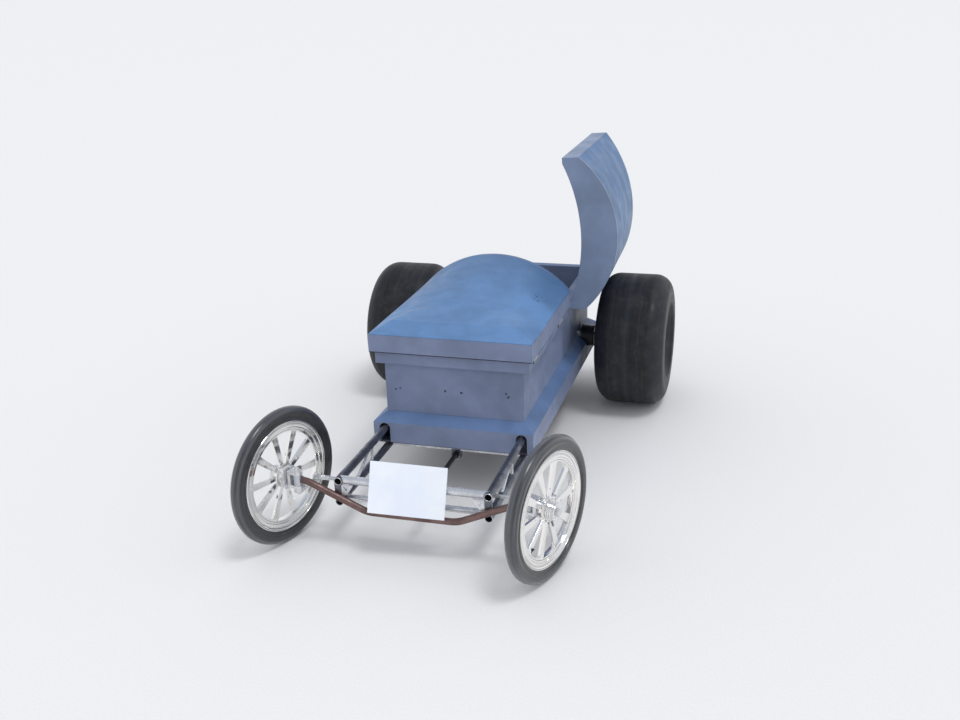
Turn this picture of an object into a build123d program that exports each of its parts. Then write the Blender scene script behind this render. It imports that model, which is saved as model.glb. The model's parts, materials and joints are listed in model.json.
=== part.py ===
from build123d import *
from math import acos, atan2, cos, degrees, radians, sin
import os

# A small drag racing car with a casket for a body, standing as it parks: the foot lid is shut,
# the head lid stands open and the front wheels are turned to the car's right.
# +X is the car's left, -Y its front, +Z up. Lengths are in millimetres.

# Layout along the car, measured back from the casket's nose
foot_lid_length = 597.5
lid_split = 5.0
head_lid_length = 569.5
rail_ahead = 396.0
kingpin_ahead = 406.0
rear_axle_from_tail = 217.0

# Casket widths and levels
lid_width = 544.0
flange_inset = 15.0
panel_inset = 38.0
base_bottom = 168.5
base_edge_height = 70.5
base_slope_height = 28.0
panel_height = 175.0
flange_height = 43.5
flange_depth = 35.0
wall = 12.0
bridge_width = 40.0

# Lids
lid_seat = 0.5
rim_height = 58.0
rim_thickness = 30.0
crown_rise = 124.0
tail_rise = 101.0
crown_thickness = 9.0
header_thickness = 18.0
header_arch_rise = 54.0
header_foot = 20.0
nose_slope_length = 78.0
nose_blend_length = 200.0
nose_crease_rise = 28.0
nose_crease_inset = 58.0
nose_hollow_inset = 4.0
nose_hollow_run = 8.0
crown_foot_factor = 1.9
tail_slope_length = 60.0
head_lid_open_angle = 87.0

# Hinges along the car's left side
hinge_knuckle_radius = 4.0
hinge_leaf = 2.5
hinge_length = 60.0
hinge_gap = 0.3
hinge_end_distance = 110.0
hinge_pin_radius = 1.6
hinge_leaf_depth = 26.0
hinge_leaf_inset = 1.0

# Frame tubes
rail_radius = 12.7
rail_wall = 2.0
rail_inset = 39.0
upper_rail_level = 216.0
lower_rail_level = 148.0
cross_tube_radius = 9.5
front_tube_radius = 12.7
cross_tube_wall = 2.0
strut_radius = 5.0
rail_tail_gap = 14.0
floor_tube_from_nose = 45.0
floor_tube_from_split = 37.5
floor_tube_from_tail = 82.0
notch_radius = 18.0
notch_rise = 2.0
floor_thickness = 7.3
seat_gap = 0.3

# Front axle
kingpin_half_spacing = 358.0
axle_radius = 10.5
axle_wall = 2.5
axle_middle_level = 130.0
axle_middle_half = 140.0
axle_shoulder_half = 333.0
axle_bend_radius = 100.0
upright_front = -398.0
upright_thickness = 10.0
upright_half_width = 11.0
gusset_reach = 48.0
gusset_drop = 9.0
gusset_tip_reach = 28.0
gusset_tip_level = 176.0
gusset_slot_length = 16.0
gusset_slot_width = 5.0
boss_radius = 13.0
boss_height = 34.0
kingpin_radius = 6.0
kingpin_head_radius = 10.0
pin_head_height = 4.0
pin_head_overhang = 3.0
running_fit = 0.05

# Knuckles, turned by the steering angle to the car's right
steer_angle = 16.7
clevis_gap = 0.5
clevis_ear = 9.0
clevis_radius = 15.0
web_start = 18.0
web_end = 28.0
steering_arm = 80.0
steering_arm_width = 18.0
steering_arm_thickness = 8.0
steering_arm_level = 179.0
spindle_offset = 57.1
spindle_radius = 8.0
tie_rod_radius = 6.0
tie_rod_eye_radius = 11.0
tie_rod_eye_height = 10.0
tie_rod_pin_radius = 4.0
tie_rod_gap = 0.5
tie_rod_neck_start = 5.5
tie_rod_neck_end = 24.0
spindle_end_play = 2.0
spindle_nut_height = 9.0
spindle_nut_overlap = 1.5

# Steering shafts, lever and wheel
lower_shaft_level = 130.0
lower_shaft_radius = 8.0
lower_shaft_front = -378.0
joint_behind = 190.0
lever_behind = -310.0
lever_thickness = 8.0
lever_width = 28.0
lever_length = 80.0
lever_pin_radius = 4.0
lever_slot_play = 2.2
lever_pin_end = -296.0
column_radius = 9.0
column_post_from_split = 57.5
steering_wheel_from_split = 30.5
steering_wheel_level = 350.0
steering_wheel_radius = 95.0
steering_wheel_grip = 9.0
steering_wheel_plate = 4.0
steering_wheel_plate_radius = 26.0
steering_wheel_boss_radius = 20.0
steering_wheel_boss_height = 10.0
steering_spoke_width = 20.0
steering_spoke_count = 3
column_cup_length = 30.0
column_cup_wall = 2.0
column_cup_start = 4.0
collar_length = 20.0
collar_radius = 17.0
post_thickness = 8.0
bearing_block_half_width = 15.0
bearing_block_half_length = 12.0
bearing_block_drop = 14.0
shaft_collar_wall = 4.0
shaft_collar_length = 5.0
shaft_collar_gap = 1.5
lever_ratio = 1.2
ball_radius = 12.0

# Front wheels
front_tyre_radius = 215.0
front_tyre_half_width = 18.0
front_rim_radius = 172.0
front_rim_half_width = 14.5
rim_lip_depth = 7.0
rim_step_half_width = 12.0
rim_step_outer = 163.0
rim_step_inner = 152.0
rim_well_half_width = 9.0
rim_well_outer = 150.0
rim_well_radius = 139.0
rim_wall = 5.0
front_tyre_wall = 5.0
front_tyre_waist = 194.0
spoke_count = 10
spoke_root_half = 6.5
spoke_tip_half = 12.5
spoke_thickness = 8.5
spoke_overlap = 3.0
hub_radius = 27.0
hub_flange_radius = 36.0
hub_flange_thickness = 5.0
hub_outboard = 31.0
hub_inboard = 22.0

# Rear wheels and axle
rear_tyre_radius = 254.0
rear_tyre_width = 262.0
rear_shoulder_radius = 64.0
rear_sidewall_bulge = 150.0
rear_tyre_wall = 12.0
rear_tyre_from_lid = 57.5
rear_rim_radius = 104.0
rear_rim_width = 200.0
rear_rim_lip = 9.0
rear_rim_wall = 4.0
rear_axle_radius = 15.0
housing_radius = 42.0
housing_clearance = 3.0
housing_from_lid = 26.0
housing_plate = 6.0
housing_round = 4.0
hanger_foot_half = 60.0
rear_hub_radius = 24.0
rear_hub_length = 46.0
rear_hub_flange_radius = 55.0
rear_hub_flange_thickness = 10.0
rear_dish_from_middle = 22.0
rear_dish_thickness = 6.0
dish_hole_ring = 78.0
dish_hole_radius = 11.0
dish_hole_count = 8
axle_end_length = 34.0
axle_nut_radius = 23.0
axle_nut_height = 10.0
axle_nut_from_end = 12.0
sprocket_radius = 55.0
sprocket_offset = 100.0
sprocket_thickness = 5.0
sprocket_teeth = 32
sprocket_gullet = 3.2

# Cockpit and engine
partition_from_axle = 72.0
partition_thickness = 8.0
partition_top = 432.0
partition_rail_gap = 0.9
seat_from_split = 40.0
seat_half_width = 165.0
seat_height = 45.0
seat_corner = 30.0
seat_edge = 12.0
seat_back_thickness = 38.0
seat_back_top = 425.0
seat_back_corner = 40.0
seat_back_edge = 8.0
engine_from_axle = 45.0
engine_tail_gap = 4.0
engine_left = 60.0
engine_right = 140.0
engine_top = 390.0
engine_corner = 10.0

# Levels and places that follow
half_lid = lid_width / 2
rail_half_spacing = half_lid - rail_inset
housing_outer = half_lid + housing_from_lid
rear_track = lid_width + 2 * rear_tyre_from_lid + rear_tyre_width
half_flange = half_lid - flange_inset
half_panel = half_lid - panel_inset
half_opening = half_flange - flange_depth
half_cabin = half_panel - wall
base_edge_top = base_bottom + base_edge_height
base_top = base_edge_top + base_slope_height
panel_top = base_top + panel_height
flange_top = panel_top + flange_height
rim_bottom = flange_top + lid_seat
rim_top = rim_bottom + rim_height
casket_length = foot_lid_length + lid_split + head_lid_length
rear_axle_behind = casket_length - rear_axle_from_tail
steering_wheel_behind = foot_lid_length + steering_wheel_from_split
column_post_behind = foot_lid_length - column_post_from_split

tyre_ring_reach = (front_tyre_radius - front_tyre_half_width) * cos(radians(steer_angle))
wheel_swing = spindle_offset * sin(radians(steer_angle))
front_reach = kingpin_ahead + wheel_swing + tyre_ring_reach + front_tyre_half_width
rear_reach = rear_axle_behind + rear_tyre_radius
nose = (front_reach - rear_reach) / 2
tail = nose + casket_length
split_front = nose + foot_lid_length
split_back = split_front + lid_split
kingpin_y = nose - kingpin_ahead
rear_axle_y = nose + rear_axle_behind
rail_front = nose - rail_ahead
rail_back = tail - wall - rail_tail_gap
rail_length = rail_back - rail_front

os.makedirs("parts", exist_ok=True)


def save(builder, label):
    builder.part.label = label
    export_step(builder.part, f"parts/{label}.step")


def save_turned(part, label, axis, angle):
    turned = part.rotate(axis, angle)
    turned.label = label
    export_step(turned, f"parts/{label}.step")


def save_placed(part, label, place):
    placed = place * part
    placed.label = label
    export_step(placed, f"parts/{label}.step")


def box_between(x_low, x_high, y_low, y_high, z_low, z_high, mode=Mode.ADD):
    """A box given by its lowest and highest corners."""
    centre = ((x_low + x_high) / 2, (y_low + y_high) / 2, (z_low + z_high) / 2)
    with Locations(centre):
        Box(x_high - x_low, y_high - y_low, z_high - z_low, mode=mode)


def ring(half_outer, y_outer, half_inner, y_inner, z_low, z_high):
    """A rectangular ring about the centre line, its walls upright."""
    box_between(-half_outer, half_outer, y_outer[0], y_outer[1], z_low, z_high)
    box_between(-half_inner, half_inner, y_inner[0], y_inner[1], z_low, z_high, Mode.SUBTRACT)


# Frame rails: an upper and a lower open-ended tube on either side
rail_places = [
    (side * rail_half_spacing, level) for side in (-1, 1) for level in (upper_rail_level, lower_rail_level)
]
with BuildPart() as rails:
    with BuildSketch(Plane.XZ.offset(-rail_front)):
        with Locations(*rail_places):
            Circle(rail_radius)
            Circle(rail_radius - rail_wall, mode=Mode.SUBTRACT)
    extrude(amount=-rail_length)
save(rails, "frame_rails")

with BuildPart() as rail_room:
    with BuildSketch(Plane.XZ.offset(upright_thickness - rail_front)):
        with Locations(*rail_places):
            Circle(rail_radius)
    extrude(amount=-rail_length - upright_thickness)

# Cross tubes, coped to the rails: (level, distance behind the nose, radius)
front_upper_tube = (upper_rail_level, -380.0, front_tube_radius)
front_lower_tube = (lower_rail_level, -361.0, cross_tube_radius)
floor_tubes = (
    (lower_rail_level, floor_tube_from_nose, cross_tube_radius),
    (lower_rail_level, foot_lid_length - floor_tube_from_split, cross_tube_radius),
    (lower_rail_level, casket_length - floor_tube_from_tail, cross_tube_radius),
)
with BuildPart() as cross_tubes:
    for level, behind, radius in (front_upper_tube, front_lower_tube) + floor_tubes:
        with BuildSketch(Plane.YZ.offset(-rail_half_spacing)):
            with Locations((nose + behind, level)):
                Circle(radius)
                Circle(radius - cross_tube_wall, mode=Mode.SUBTRACT)
        extrude(amount=2 * rail_half_spacing)
    add(rail_room.part, mode=Mode.SUBTRACT)
save(cross_tubes, "cross_tubes")

# Struts between the rails: (distance behind the nose at the upper rail, at the lower rail)
strut_places = ((-125.0, -125.0), (-125.0, -265.0))
with BuildPart() as struts:
    for side in (-1, 1):
        x = side * rail_half_spacing
        for upper_place, lower_place in strut_places:
            low = Vector(x, nose + lower_place, lower_rail_level)
            high = Vector(x, nose + upper_place, upper_rail_level)
            with BuildSketch(Plane(origin=low, z_dir=high - low)):
                Circle(strut_radius)
            extrude(amount=(high - low).length)
    add(rail_room.part, mode=Mode.SUBTRACT)
save(struts, "frame_struts")


# Front axle: a bow-shaped tube with a boss for the kingpin at each end
axle_plane = Plane.XZ.offset(-kingpin_y)
axle_points = (
    (-kingpin_half_spacing, front_tyre_radius),
    (-axle_shoulder_half, front_tyre_radius),
    (-axle_middle_half, axle_middle_level),
    (axle_middle_half, axle_middle_level),
    (axle_shoulder_half, front_tyre_radius),
    (kingpin_half_spacing, front_tyre_radius),
)
with BuildPart() as axle:
    with BuildLine(axle_plane) as axle_path:
        FilletPolyline(*axle_points, radius=axle_bend_radius)
    axle_start = Vector(-kingpin_half_spacing, kingpin_y, front_tyre_radius)
    with BuildSketch(Plane(origin=axle_start, z_dir=(1, 0, 0))):
        Circle(axle_radius)
        Circle(axle_radius - axle_wall, mode=Mode.SUBTRACT)
    sweep(path=axle_path.wires()[0])
    with Locations(*[(side * kingpin_half_spacing, kingpin_y, front_tyre_radius) for side in (-1, 1)]):
        Cylinder(boss_radius, boss_height)
        Cylinder(kingpin_radius + running_fit, boss_height, mode=Mode.SUBTRACT)
save(axle, "front_axle")

# The axle's slopes and the front cross tubes, cut out of what is welded to them
slope_ends = [
    (
        Vector(side * axle_middle_half, kingpin_y, axle_middle_level),
        Vector(side * axle_shoulder_half, kingpin_y, front_tyre_radius),
    )
    for side in (-1, 1)
]
with BuildPart() as axle_room:
    for low, high in slope_ends:
        with BuildSketch(Plane(origin=low, z_dir=high - low)):
            Circle(axle_radius)
        extrude(amount=(high - low).length)
    for level, behind, radius in (front_upper_tube, front_lower_tube):
        with BuildSketch(Plane.YZ.offset(-rail_half_spacing)):
            with Locations((nose + behind, level)):
                Circle(radius)
        extrude(amount=2 * rail_half_spacing)

# Uprights that join each pair of rail ends to the axle
upright_y = (nose + upright_front, nose + upright_front + upright_thickness)
with BuildPart() as uprights:
    for side in (-1, 1):
        x = side * rail_half_spacing
        box_between(
            x - upright_half_width, x + upright_half_width,
            *upright_y,
            lower_rail_level, upper_rail_level,
        )
    add(rail_room.part, mode=Mode.SUBTRACT)
    add(axle_room.part, mode=Mode.SUBTRACT)
save(uprights, "axle_uprights")

# Slotted gussets between the upper cross tube, the uprights and the axle
with BuildPart() as gussets:
    for side in (-1, 1):
        corners = (
            (rail_half_spacing - gusset_reach, upper_rail_level - gusset_drop),
            (rail_half_spacing - upright_half_width, upper_rail_level - gusset_drop),
            (rail_half_spacing - upright_half_width, gusset_tip_level - gusset_drop),
            (rail_half_spacing - gusset_tip_reach, gusset_tip_level),
        )
        slot_x = side * (rail_half_spacing - gusset_tip_reach + gusset_slot_width)
        with BuildSketch(Plane.XZ.offset(-upright_y[0])):
            with BuildLine():
                Polyline(*[(side * x, level) for x, level in corners], close=True)
            make_face()
            with Locations((slot_x, (upper_rail_level + gusset_tip_level) / 2)):
                SlotOverall(gusset_slot_length, gusset_slot_width, rotation=side * 60, mode=Mode.SUBTRACT)
        extrude(amount=-upright_thickness / 2)
    add(rail_room.part, mode=Mode.SUBTRACT)
    add(axle_room.part, mode=Mode.SUBTRACT)
save(gussets, "axle_gussets")

# Casket base: a hollow moulding with a sloping top and an inverted-U notch for each upper rail
base_y = (nose, tail)
panel_y = (nose + panel_inset, tail - panel_inset)
with BuildPart() as base:
    middle_y = (nose + tail) / 2
    levels = (
        (base_bottom, half_lid, 0.0),
        (base_edge_top, half_lid, 0.0),
        (base_top, half_panel, panel_inset),
    )
    for mode, inset in ((Mode.ADD, 0.0), (Mode.SUBTRACT, wall)):
        for low, high in ((levels[0], levels[1]), (levels[1], levels[2])):
            for level, half, y_inset in (low, high):
                with BuildSketch(Plane.XY.offset(level)):
                    with Locations((0, middle_y)):
                        Rectangle(2 * (half - inset), casket_length - 2 * (y_inset + inset))
            loft(ruled=True, mode=mode)
    with BuildSketch(Plane.XZ.offset(-nose)):
        for side in (-1, 1):
            with Locations((side * rail_half_spacing, upper_rail_level + notch_rise)):
                Circle(notch_radius)
            with Locations((side * rail_half_spacing, (base_bottom + upper_rail_level + notch_rise) / 2)):
                Rectangle(2 * notch_radius, upper_rail_level + notch_rise - base_bottom)
    extrude(amount=-wall, mode=Mode.SUBTRACT)
    with BuildSketch(Plane.YZ.offset(-half_lid)):
        with Locations((rear_axle_y, rear_tyre_radius)):
            Circle(housing_radius + housing_clearance)
    extrude(amount=lid_width, mode=Mode.SUBTRACT)
save(base, "casket_base")

# Casket sides and ends, with four drilled holes in the front
hole_places = (-185.0, -28.0, 28.0, 185.0)
hole_level = 350.0
hole_radius = 2.5
with BuildPart() as panels:
    ring(
        half_panel, panel_y,
        half_cabin, (panel_y[0] + wall, panel_y[1] - wall),
        base_top, panel_top,
    )
    with BuildSketch(Plane.XZ.offset(-panel_y[0])):
        with Locations(*[(x, hole_level) for x in hole_places]):
            Circle(hole_radius)
    extrude(amount=-wall, mode=Mode.SUBTRACT)
    with BuildSketch(Plane.YZ.offset(-half_panel)):
        with Locations((rear_axle_y, rear_tyre_radius)):
            Circle(housing_radius + housing_clearance)
    extrude(amount=2 * half_panel, mode=Mode.SUBTRACT)
save(panels, "casket_panels")

# Body flange under the lids, with the bridge that both lids meet over
flange_y = (nose + flange_inset, tail - flange_inset)
opening_y = (flange_y[0] + flange_depth, flange_y[1] - flange_depth)
with BuildPart() as flange:
    ring(half_flange, flange_y, half_opening, opening_y, panel_top, flange_top)
save(flange, "body_flange")

bridge_y = (split_front + lid_split / 2 - bridge_width / 2, split_front + lid_split / 2 + bridge_width / 2)
with BuildPart() as bridge:
    box_between(-half_opening + seat_gap, half_opening - seat_gap, *bridge_y, panel_top, flange_top)
save(bridge, "lid_bridge")

# Floor board on the lower rails, slotted for the steering column
column_run = steering_wheel_behind - joint_behind
column_climb = steering_wheel_level - lower_shaft_level
floor_bottom = lower_rail_level + rail_radius + seat_gap
floor_top = floor_bottom + floor_thickness
slot_centre = nose + joint_behind + (floor_top - lower_shaft_level) * column_run / column_climb
slot_half_length = 40.0
slot_half_width = 25.0
with BuildPart() as floor:
    box_between(
        -half_lid + wall + seat_gap, half_lid - wall - seat_gap,
        nose + wall + seat_gap, tail - wall - seat_gap,
        floor_bottom, floor_top,
    )
    box_between(
        -slot_half_width, slot_half_width,
        slot_centre - slot_half_length, slot_centre + slot_half_length,
        floor_bottom, floor_top, Mode.SUBTRACT,
    )
save(floor, "floor_board")


# Cockpit: a partition behind the driver, the seat in front of it, and the engine as a plain block
partition_y = (
    rear_axle_y - partition_from_axle,
    rear_axle_y - partition_from_axle + partition_thickness,
)
partition_half = rail_half_spacing - rail_radius - partition_rail_gap
with BuildPart() as partition:
    box_between(-partition_half, partition_half, *partition_y, floor_top, partition_top)
save(partition, "cockpit_partition")

cushion_top = floor_top + seat_height
cushion_front = split_back + seat_from_split
with BuildPart() as cushion:
    box_between(-seat_half_width, seat_half_width, cushion_front, partition_y[0], floor_top, cushion_top)
    fillet(cushion.edges().filter_by(Axis.Z).group_by(Axis.Y)[0], radius=seat_corner)
    fillet(cushion.faces().sort_by(Axis.Z)[-1].edges().group_by(Axis.Y)[0], radius=seat_edge)
save(cushion, "seat_cushion")

with BuildPart() as seat_back:
    box_between(
        -seat_half_width, seat_half_width,
        partition_y[0] - seat_back_thickness, partition_y[0],
        cushion_top, seat_back_top,
    )
    fillet(seat_back.edges().filter_by(Axis.Y).group_by(Axis.Z)[-1], radius=seat_back_corner)
    fillet(seat_back.faces().sort_by(Axis.Y)[0].edges(), radius=seat_back_edge)
save(seat_back, "seat_back")

with BuildPart() as engine:
    box_between(
        -engine_right, engine_left,
        rear_axle_y + engine_from_axle, tail - panel_inset - wall - engine_tail_gap,
        floor_top, engine_top,
    )
    fillet(engine.edges().filter_by(Axis.Z), radius=engine_corner)
save(engine, "engine_block")

# Rear axle carriers: a plate outside each pair of rails with a round bearing housing
hanger_inside = rail_half_spacing + rail_radius
with BuildPart() as hangers:
    for side in (-1, 1):
        with BuildSketch(Plane.YZ.offset(side * hanger_inside)):
            with Locations((rear_axle_y, rear_tyre_radius)):
                Circle(housing_radius)
            with BuildLine():
                Polyline(
                    (rear_axle_y - hanger_foot_half, floor_top + seat_gap),
                    (rear_axle_y + hanger_foot_half, floor_top + seat_gap),
                    (rear_axle_y + hanger_foot_half, upper_rail_level),
                    (rear_axle_y + housing_radius - housing_round, rear_tyre_radius),
                    (rear_axle_y - housing_radius + housing_round, rear_tyre_radius),
                    (rear_axle_y - hanger_foot_half, upper_rail_level),
                    close=True,
                )
            make_face()
            with Locations((rear_axle_y, rear_tyre_radius)):
                Circle(rear_axle_radius + housing_clearance, mode=Mode.SUBTRACT)
        extrude(amount=side * housing_plate)
save(hangers, "axle_hangers")

housing_inside = hanger_inside + housing_plate
with BuildPart() as housings:
    for side in (-1, 1):
        with BuildSketch(Plane.YZ.offset(side * housing_inside)):
            with Locations((rear_axle_y, rear_tyre_radius)):
                Circle(housing_radius)
                Circle(rear_axle_radius + running_fit, mode=Mode.SUBTRACT)
        extrude(amount=side * (housing_outer - housing_inside))
    rim_edges = housings.edges().filter_by(GeomType.CIRCLE).group_by(Edge.radius.fget)[-1]
    outer_edges = [edge for edge in rim_edges if abs(edge.center().X) > housing_inside + housing_round]
    fillet(outer_edges, radius=housing_round)
save(housings, "bearing_housings")

# Lids, modelled closed: a frame of four sides, a crown and a crescent-shaped header at the split
lid_y = {"foot": (nose, split_front), "head": (split_back, tail)}


def folded_section(y, half, crease_half, crease_level):
    with BuildSketch(Plane.XZ.offset(-y)) as section:
        with BuildLine():
            Polyline(
                (-half, rim_top), (-crease_half, crease_level),
                (crease_half, crease_level), (half, rim_top),
                close=True,
            )
        make_face()
    return section.sketch


def arched_section(y, rise, depth=0.0):
    radius = (half_lid**2 + rise**2) / (2 * rise)
    centre_level = rim_top + rise - radius
    inner = radius - depth
    half_angle = degrees(acos((rim_top - centre_level) / inner))
    with BuildSketch(Plane.XZ.offset(-y)) as section:
        with BuildLine():
            third = 2 * half_angle / 3
            for part in range(3):
                CenterArc((0, centre_level), inner, 90 - half_angle + part * third, third)
            foot = inner * sin(radians(half_angle))
            Line((-foot, rim_top), (foot, rim_top))
        make_face()
    return section.sketch


def end_slope(y_end, y_top, level_top):
    with BuildSketch(Plane.YZ.offset(-half_lid)) as section:
        with BuildLine():
            run = y_end - y_top
            Polyline(
                (y_end + run, rim_top - (level_top - rim_top)), (y_top, level_top),
                (y_top - run, level_top + (level_top - rim_top)),
                (y_end + run, level_top + (level_top - rim_top)),
                close=True,
            )
        make_face()
    return section.sketch


crease_y = nose + nose_slope_length
crease_level = rim_top + nose_crease_rise
crease_half = half_lid - nose_crease_inset
blend_y = nose + nose_blend_length
blend_rise = nose_crease_rise + (crown_rise - nose_crease_rise) * (
    (nose_blend_length - nose_slope_length) / (foot_lid_length - nose_slope_length)
)
foot_header_y = split_front - header_thickness
head_header_y = split_back + header_thickness
shell_base = crown_thickness * crown_foot_factor

with BuildPart() as foot_crown:
    extrude(folded_section(nose, half_lid, crease_half, crease_level), amount=-nose_slope_length)
    extrude(end_slope(nose, crease_y, crease_level), amount=lid_width, mode=Mode.SUBTRACT)
    loft(
        [folded_section(crease_y, half_lid, crease_half, crease_level), arched_section(blend_y, blend_rise)],
        ruled=True,
    )
    loft([arched_section(blend_y, blend_rise), arched_section(foot_header_y, crown_rise)], ruled=True)

hollow_half = half_lid - shell_base
hollow_crease_half = crease_half - nose_hollow_inset
hollow_crease_level = crease_level - crown_thickness
with BuildPart() as foot_hollow:
    extrude(
        folded_section(nose, hollow_half, hollow_crease_half, hollow_crease_level),
        amount=-nose_slope_length,
    )
    extrude(
        end_slope(nose + 2 * shell_base, crease_y + nose_hollow_run, hollow_crease_level),
        amount=lid_width, mode=Mode.SUBTRACT,
    )
    loft(
        [
            folded_section(crease_y, hollow_half, hollow_crease_half, hollow_crease_level),
            arched_section(blend_y, blend_rise, crown_thickness),
        ],
        ruled=True,
    )
    loft(
        [
            arched_section(blend_y, blend_rise, crown_thickness),
            arched_section(foot_header_y, crown_rise, crown_thickness),
        ],
        ruled=True,
    )

with BuildPart() as foot_crown_shell:
    add(foot_crown.part)
    add(foot_hollow.part, mode=Mode.SUBTRACT)
save(foot_crown_shell, "foot_lid_crown")

slope_top = rim_top + tail_rise
with BuildPart() as head_crown:
    loft([arched_section(head_header_y, crown_rise), arched_section(tail, tail_rise)], ruled=True)
    extrude(end_slope(tail, tail - tail_slope_length, slope_top), amount=lid_width, mode=Mode.SUBTRACT)

with BuildPart() as head_hollow:
    loft(
        [
            arched_section(head_header_y, crown_rise, crown_thickness),
            arched_section(tail, tail_rise, crown_thickness),
        ],
        ruled=True,
    )
    extrude(
        end_slope(tail - shell_base, tail - tail_slope_length - shell_base / 2, slope_top),
        amount=lid_width, mode=Mode.SUBTRACT,
    )

with BuildPart() as head_crown_shell:
    add(head_crown.part)
    add(head_hollow.part, mode=Mode.SUBTRACT)

with BuildPart() as foot_rim:
    box_between(-half_lid, half_lid, nose, foot_header_y, rim_bottom, rim_top)
    box_between(
        -half_lid + rim_thickness, half_lid - rim_thickness,
        nose + rim_thickness, foot_header_y,
        rim_bottom, rim_top, Mode.SUBTRACT,
    )
save(foot_rim, "foot_lid_rim")

with BuildPart() as head_rim:
    box_between(-half_lid, half_lid, head_header_y, tail, rim_bottom, rim_top)
    box_between(
        -half_lid + rim_thickness, half_lid - rim_thickness,
        head_header_y, tail - rim_thickness,
        rim_bottom, rim_top, Mode.SUBTRACT,
    )


def header_profile(y):
    inner_half = half_lid - header_foot
    with BuildSketch(Plane.XZ.offset(-y)) as section:
        with BuildLine():
            ThreePointArc((-half_lid, rim_top), (0, rim_top + crown_rise), (half_lid, rim_top))
            Line((half_lid, rim_top), (half_lid, rim_bottom))
            Line((half_lid, rim_bottom), (inner_half, rim_bottom))
            ThreePointArc(
                (inner_half, rim_bottom), (0, rim_bottom + header_arch_rise), (-inner_half, rim_bottom)
            )
            Line((-inner_half, rim_bottom), (-half_lid, rim_bottom))
            Line((-half_lid, rim_bottom), (-half_lid, rim_top))
        make_face()
    return section.sketch


with BuildPart() as foot_header:
    extrude(header_profile(foot_header_y), amount=-header_thickness)
save(foot_header, "foot_lid_header")

with BuildPart() as head_header:
    extrude(header_profile(split_back), amount=-header_thickness)

# Hinges on the car's left: leaves with knuckles and a pin on the body, a middle knuckle on each lid
hinge_x = half_flange + hinge_leaf + hinge_knuckle_radius
hinge_level = rim_bottom - lid_seat - hinge_knuckle_radius
lid_knuckle = hinge_length / 3 - 2 * hinge_gap
hinge_places = {
    name: (span[0] + hinge_end_distance, span[1] - hinge_end_distance) for name, span in lid_y.items()
}
with BuildPart() as body_hinges:
    for y in hinge_places["foot"] + hinge_places["head"]:
        box_between(
            half_flange, half_flange + hinge_leaf,
            y - hinge_length / 2, y + hinge_length / 2,
            hinge_level - hinge_leaf_depth, hinge_level,
        )
        for end in (-1, 1):
            knuckle_y = y + end * hinge_length / 3
            with BuildSketch(Plane.XZ.offset(-(knuckle_y - hinge_length / 6))):
                with Locations((hinge_x, hinge_level)):
                    Circle(hinge_knuckle_radius)
                with Locations((hinge_x - hinge_knuckle_radius / 2, hinge_level - hinge_knuckle_radius / 2)):
                    Rectangle(hinge_knuckle_radius, hinge_knuckle_radius)
            extrude(amount=-hinge_length / 3)
        with BuildSketch(Plane.XZ.offset(-(y - hinge_length / 2))):
            with Locations((hinge_x, hinge_level)):
                Circle(hinge_pin_radius)
        extrude(amount=-hinge_length)
save(body_hinges, "body_hinge_leaves")


def lid_hinges(places):
    for y in places:
        box_between(
            hinge_x, half_lid - hinge_leaf_inset,
            y - lid_knuckle / 2, y + lid_knuckle / 2,
            rim_bottom - hinge_leaf, rim_bottom,
        )
        with Locations(Location((hinge_x, y, hinge_level), (90, 0, 0))):
            Cylinder(hinge_knuckle_radius, lid_knuckle)
            Cylinder(hinge_pin_radius + running_fit, lid_knuckle, mode=Mode.SUBTRACT)


with BuildPart() as foot_lid_hinges:
    lid_hinges(hinge_places["foot"])
save(foot_lid_hinges, "foot_lid_hinge_leaves")

with BuildPart() as head_lid_hinges:
    lid_hinges(hinge_places["head"])

# The head lid stands open, turned about its hinges to the car's left
hinge_axis = Axis((hinge_x, 0, hinge_level), (0, 1, 0))
for builder, label in (
    (head_rim, "head_lid_rim"),
    (head_crown_shell, "head_lid_crown"),
    (head_header, "head_lid_header"),
    (head_lid_hinges, "head_lid_hinge_leaves"),
):
    save_turned(builder.part, label, hinge_axis, head_lid_open_angle)


# Knuckles, modelled pointing straight ahead and then turned about their kingpins
ear_top = front_tyre_radius + boss_height / 2 + clevis_gap + clevis_ear
ear_bottom = front_tyre_radius - boss_height / 2 - clevis_gap - clevis_ear
arm_bottom = steering_arm_level - steering_arm_thickness / 2
arm_top = arm_bottom + steering_arm_thickness
eye_bottom = arm_top + tie_rod_gap
eye_top = eye_bottom + tie_rod_eye_height
rod_level = (eye_bottom + eye_top) / 2
spindle_end = spindle_offset + hub_outboard + spindle_end_play


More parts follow.
